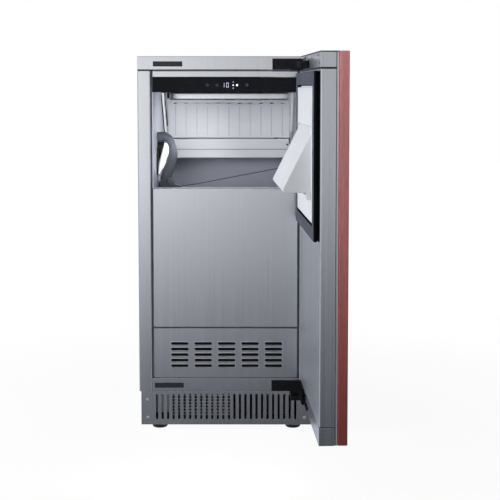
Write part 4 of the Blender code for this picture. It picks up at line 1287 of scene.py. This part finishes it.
CARRIED = {
    "foam": ("insulation_foam",),
    "board": ("control_board",),
    "fins": ("evaporator_plate",),
    "screw_steel": ("hinge_pin_top", "hinge_pin_bottom"),
    "white": ("water_distributor", "water_inlet_valve"),
    "tube": ("water_supply_tube", "drain_tube"),
    "copper": ("evaporator_line", "bin_thermostat_probe", "filter_drier", "discharge_line"),
    # the electrical box in black paint: painted shade behind the toe slots
    "black_paint": ("compressor", "fan_motor", "electrical_box"),
    "black_plastic": ("control_housing", "water_pump", "fan_shroud", "fan_wheel", "power_inlet",
                      "foot_front_left", "foot_front_right", "foot_rear_left",
                      "foot_rear_right"),
}


def carried_nodes():
    """CAD nodes whose shape is right keep it and get their finish."""
    for look, nodes in CARRIED.items():
        for node in nodes:
            mesh = NODES[node].data
            mesh.materials.clear()
            mesh.materials.append(LOOKS[look])


# ---- stage

ROOM = Vector()  # origin of the studio lamps; the small lamps stand at the cabinet
LAMPS = (  # name, origin, place, target, size, watts, spread in degrees
    ("front_softbox", ROOM, (-0.25, -2.9, 1.05), (0.0, 0.0, 0.95), (0.9, 0.7), 3.4, 46),
    ("left_softbox", ROOM, (-2.5, -0.8, 0.95), (0.1, -0.3, 0.75), (1.2, 1.2), 22, 80),
    ("toe_fill", HOME, (-0.06, -0.4, 0.07), (-0.06, 0.6, 0.07), (0.3, 0.06), 0.7, 180),
    ("mouth_fill", HOME, (0.0, -0.05, 0.64), (0.0, 0.95, 0.76), (0.26, 0.12), 0.36, 180),
    ("left_wall_fill", HOME, (0.06, 0.02, 0.71), (-0.155, 0.2, 0.61), (0.06, 0.06), 0.3, 90),
    ("overhead", ROOM, (-0.3, -0.4, 3.2), (0.0, 0.0, 0.4), (2.4, 2.4), 3, 180),
)

# What reflections see.  Each row is a component of the direction, a grey and how blue it is.
RISE = ((-0.6, 0.04, 1.2), (-0.42, 0.02, 1.2), (-0.3, 0.045, 1.25), (-0.2, 0.18, 1.25),
        (-0.13, 0.7, 1.1), (-0.05, 1.5, 1.0), (0.04, 0.93, 1.0), (0.7, 0.88, 1.0))
SIDE = ((-0.5, 1.25, 1.0), (-0.13, 1.25, 1.0), (0.0, 0.63, 1.0), (0.03, 0.49, 1.0),
        (0.06, 0.52, 1.0), (0.12, 0.48, 1.0), (0.5, 0.35, 1.0))
FLANK = ((-0.45, 1.0, 1.0), (-0.25, 0.0, 1.0), (0.25, 0.0, 1.0), (0.45, 1.0, 1.0))
WIDE = ((-0.7, 0.3, 1.1), (-0.2, 0.4, 1.1), (0.1, 0.75, 1.0), (0.6, 0.8, 1.0))
BEHIND = ((-0.4, 0.58, 1.2), (-0.2, 0.42, 1.15), (0.0, 0.42, 1.15), (0.1, 0.34, 1.1),
          (0.4, 0.3, 1.1))
BACKWARD = ((-0.3, 0.0, 1.0), (0.1, 1.0, 1.0))
FILL = (0.1, 0.102, 0.11, 1.0)  # what lights the surfaces from all round
BACKDROP = (1.0, 1.0, 1.0, 1.0)


def add_light(name, place, target, size, power, spread):
    light = bpy.data.lights.new(name, "AREA")
    light.shape = "RECTANGLE"
    light.size, light.size_y = size
    light.energy = power
    light.spread = math.radians(spread)
    lamp = add_object(name, light)
    lamp.location = place
    lamp.rotation_euler = (target - place).to_track_quat("-Z", "Y").to_euler()
    lamp.visible_camera = False
    lamp.visible_glossy = False


class Sky(Nodes):
    """Nodes of the surroundings."""

    def curve(self, source, stops):
        """A grey that follows the rows of a table."""
        first, last = stops[0][0], stops[-1][0]
        colours = []
        for where, value, blue in stops:
            grey = (value, value * (1 + (blue - 1) * 0.35), value * blue)
            colours.append(((where - first) / (last - first), grey))
        return self.ramp(self.spread(source, 0.0, 1.0, first, last), *colours)


def make_world():
    """White backdrop, a dim even fill, and for reflections a bright wall above and to the left."""
    world = bpy.data.worlds.new("studio")
    bpy.context.scene.world = world
    world.use_nodes = True
    world.node_tree.nodes.clear()
    sky = Sky(world.node_tree)
    split = sky.new("SeparateXYZ")
    sky.link(sky.new("TexCoord").outputs["Generated"], split.inputs["Vector"])
    x, y, z = (split.outputs[name] for name in "XYZ")
    middle = sky.multiply(sky.curve(z, RISE), sky.curve(x, SIDE))
    front = sky.mix("MIX", sky.curve(x, FLANK), middle, sky.curve(z, WIDE))
    seen = sky.mix("MIX", sky.curve(y, BACKWARD), front, sky.curve(z, BEHIND))
    path = sky.new("LightPath")
    lit = sky.mix("MIX", path.outputs["Is Glossy Ray"], FILL, seen)
    shown = sky.mix("MIX", path.outputs["Is Camera Ray"], lit, BACKDROP)
    around = sky.new("Background")
    sky.link(shown, around.inputs["Color"])
    sky.link(around.outputs["Background"], sky.new("OutputWorld").inputs["Surface"])


def make_stage():
    bm = bmesh.new()
    bmesh.ops.create_grid(bm, x_segments=1, y_segments=1, size=9.0)
    floor = add_mesh("floor", bm)
    floor.data.materials.append(LOOKS["floor"])
    floor.visible_glossy = False
    floor.visible_diffuse = False
    for name, origin, place, target, size, power, spread in LAMPS:
        add_light(name, origin + Vector(place), origin + Vector(target), size, power, spread)
    make_world()
    bpy.context.scene.view_settings.view_transform = "Standard"


CAMERA_PLACE = (0.0599, -2.4964, 0.7647)  # from the cabinet's origin, in metres
CAMERA_TILT = 4.337  # degrees down
CAMERA_TURN = 0.148  # degrees to the left
FOCAL_LENGTH = 83.39
CAMERA_SHIFT = -0.15


def make_camera():
    """Eye level near the top of the cabinet, a little right of its centre."""
    data = bpy.data.cameras.new("camera")
    data.lens = FOCAL_LENGTH
    data.sensor_width = 36.0
    data.shift_y = CAMERA_SHIFT
    camera = add_object("camera", data)
    camera.location = HOME + Vector(CAMERA_PLACE)
    camera.rotation_euler = (math.radians(90 - CAMERA_TILT), 0.0, math.radians(CAMERA_TURN))
    bpy.context.scene.camera = camera


# ---- assembly

make_camera()
make_stage()
cabinet_shell()
controls()
hinges()
door_leaf()
door_fittings()
module()
ice_bin()
scoop()
condenser()
carried_nodes()
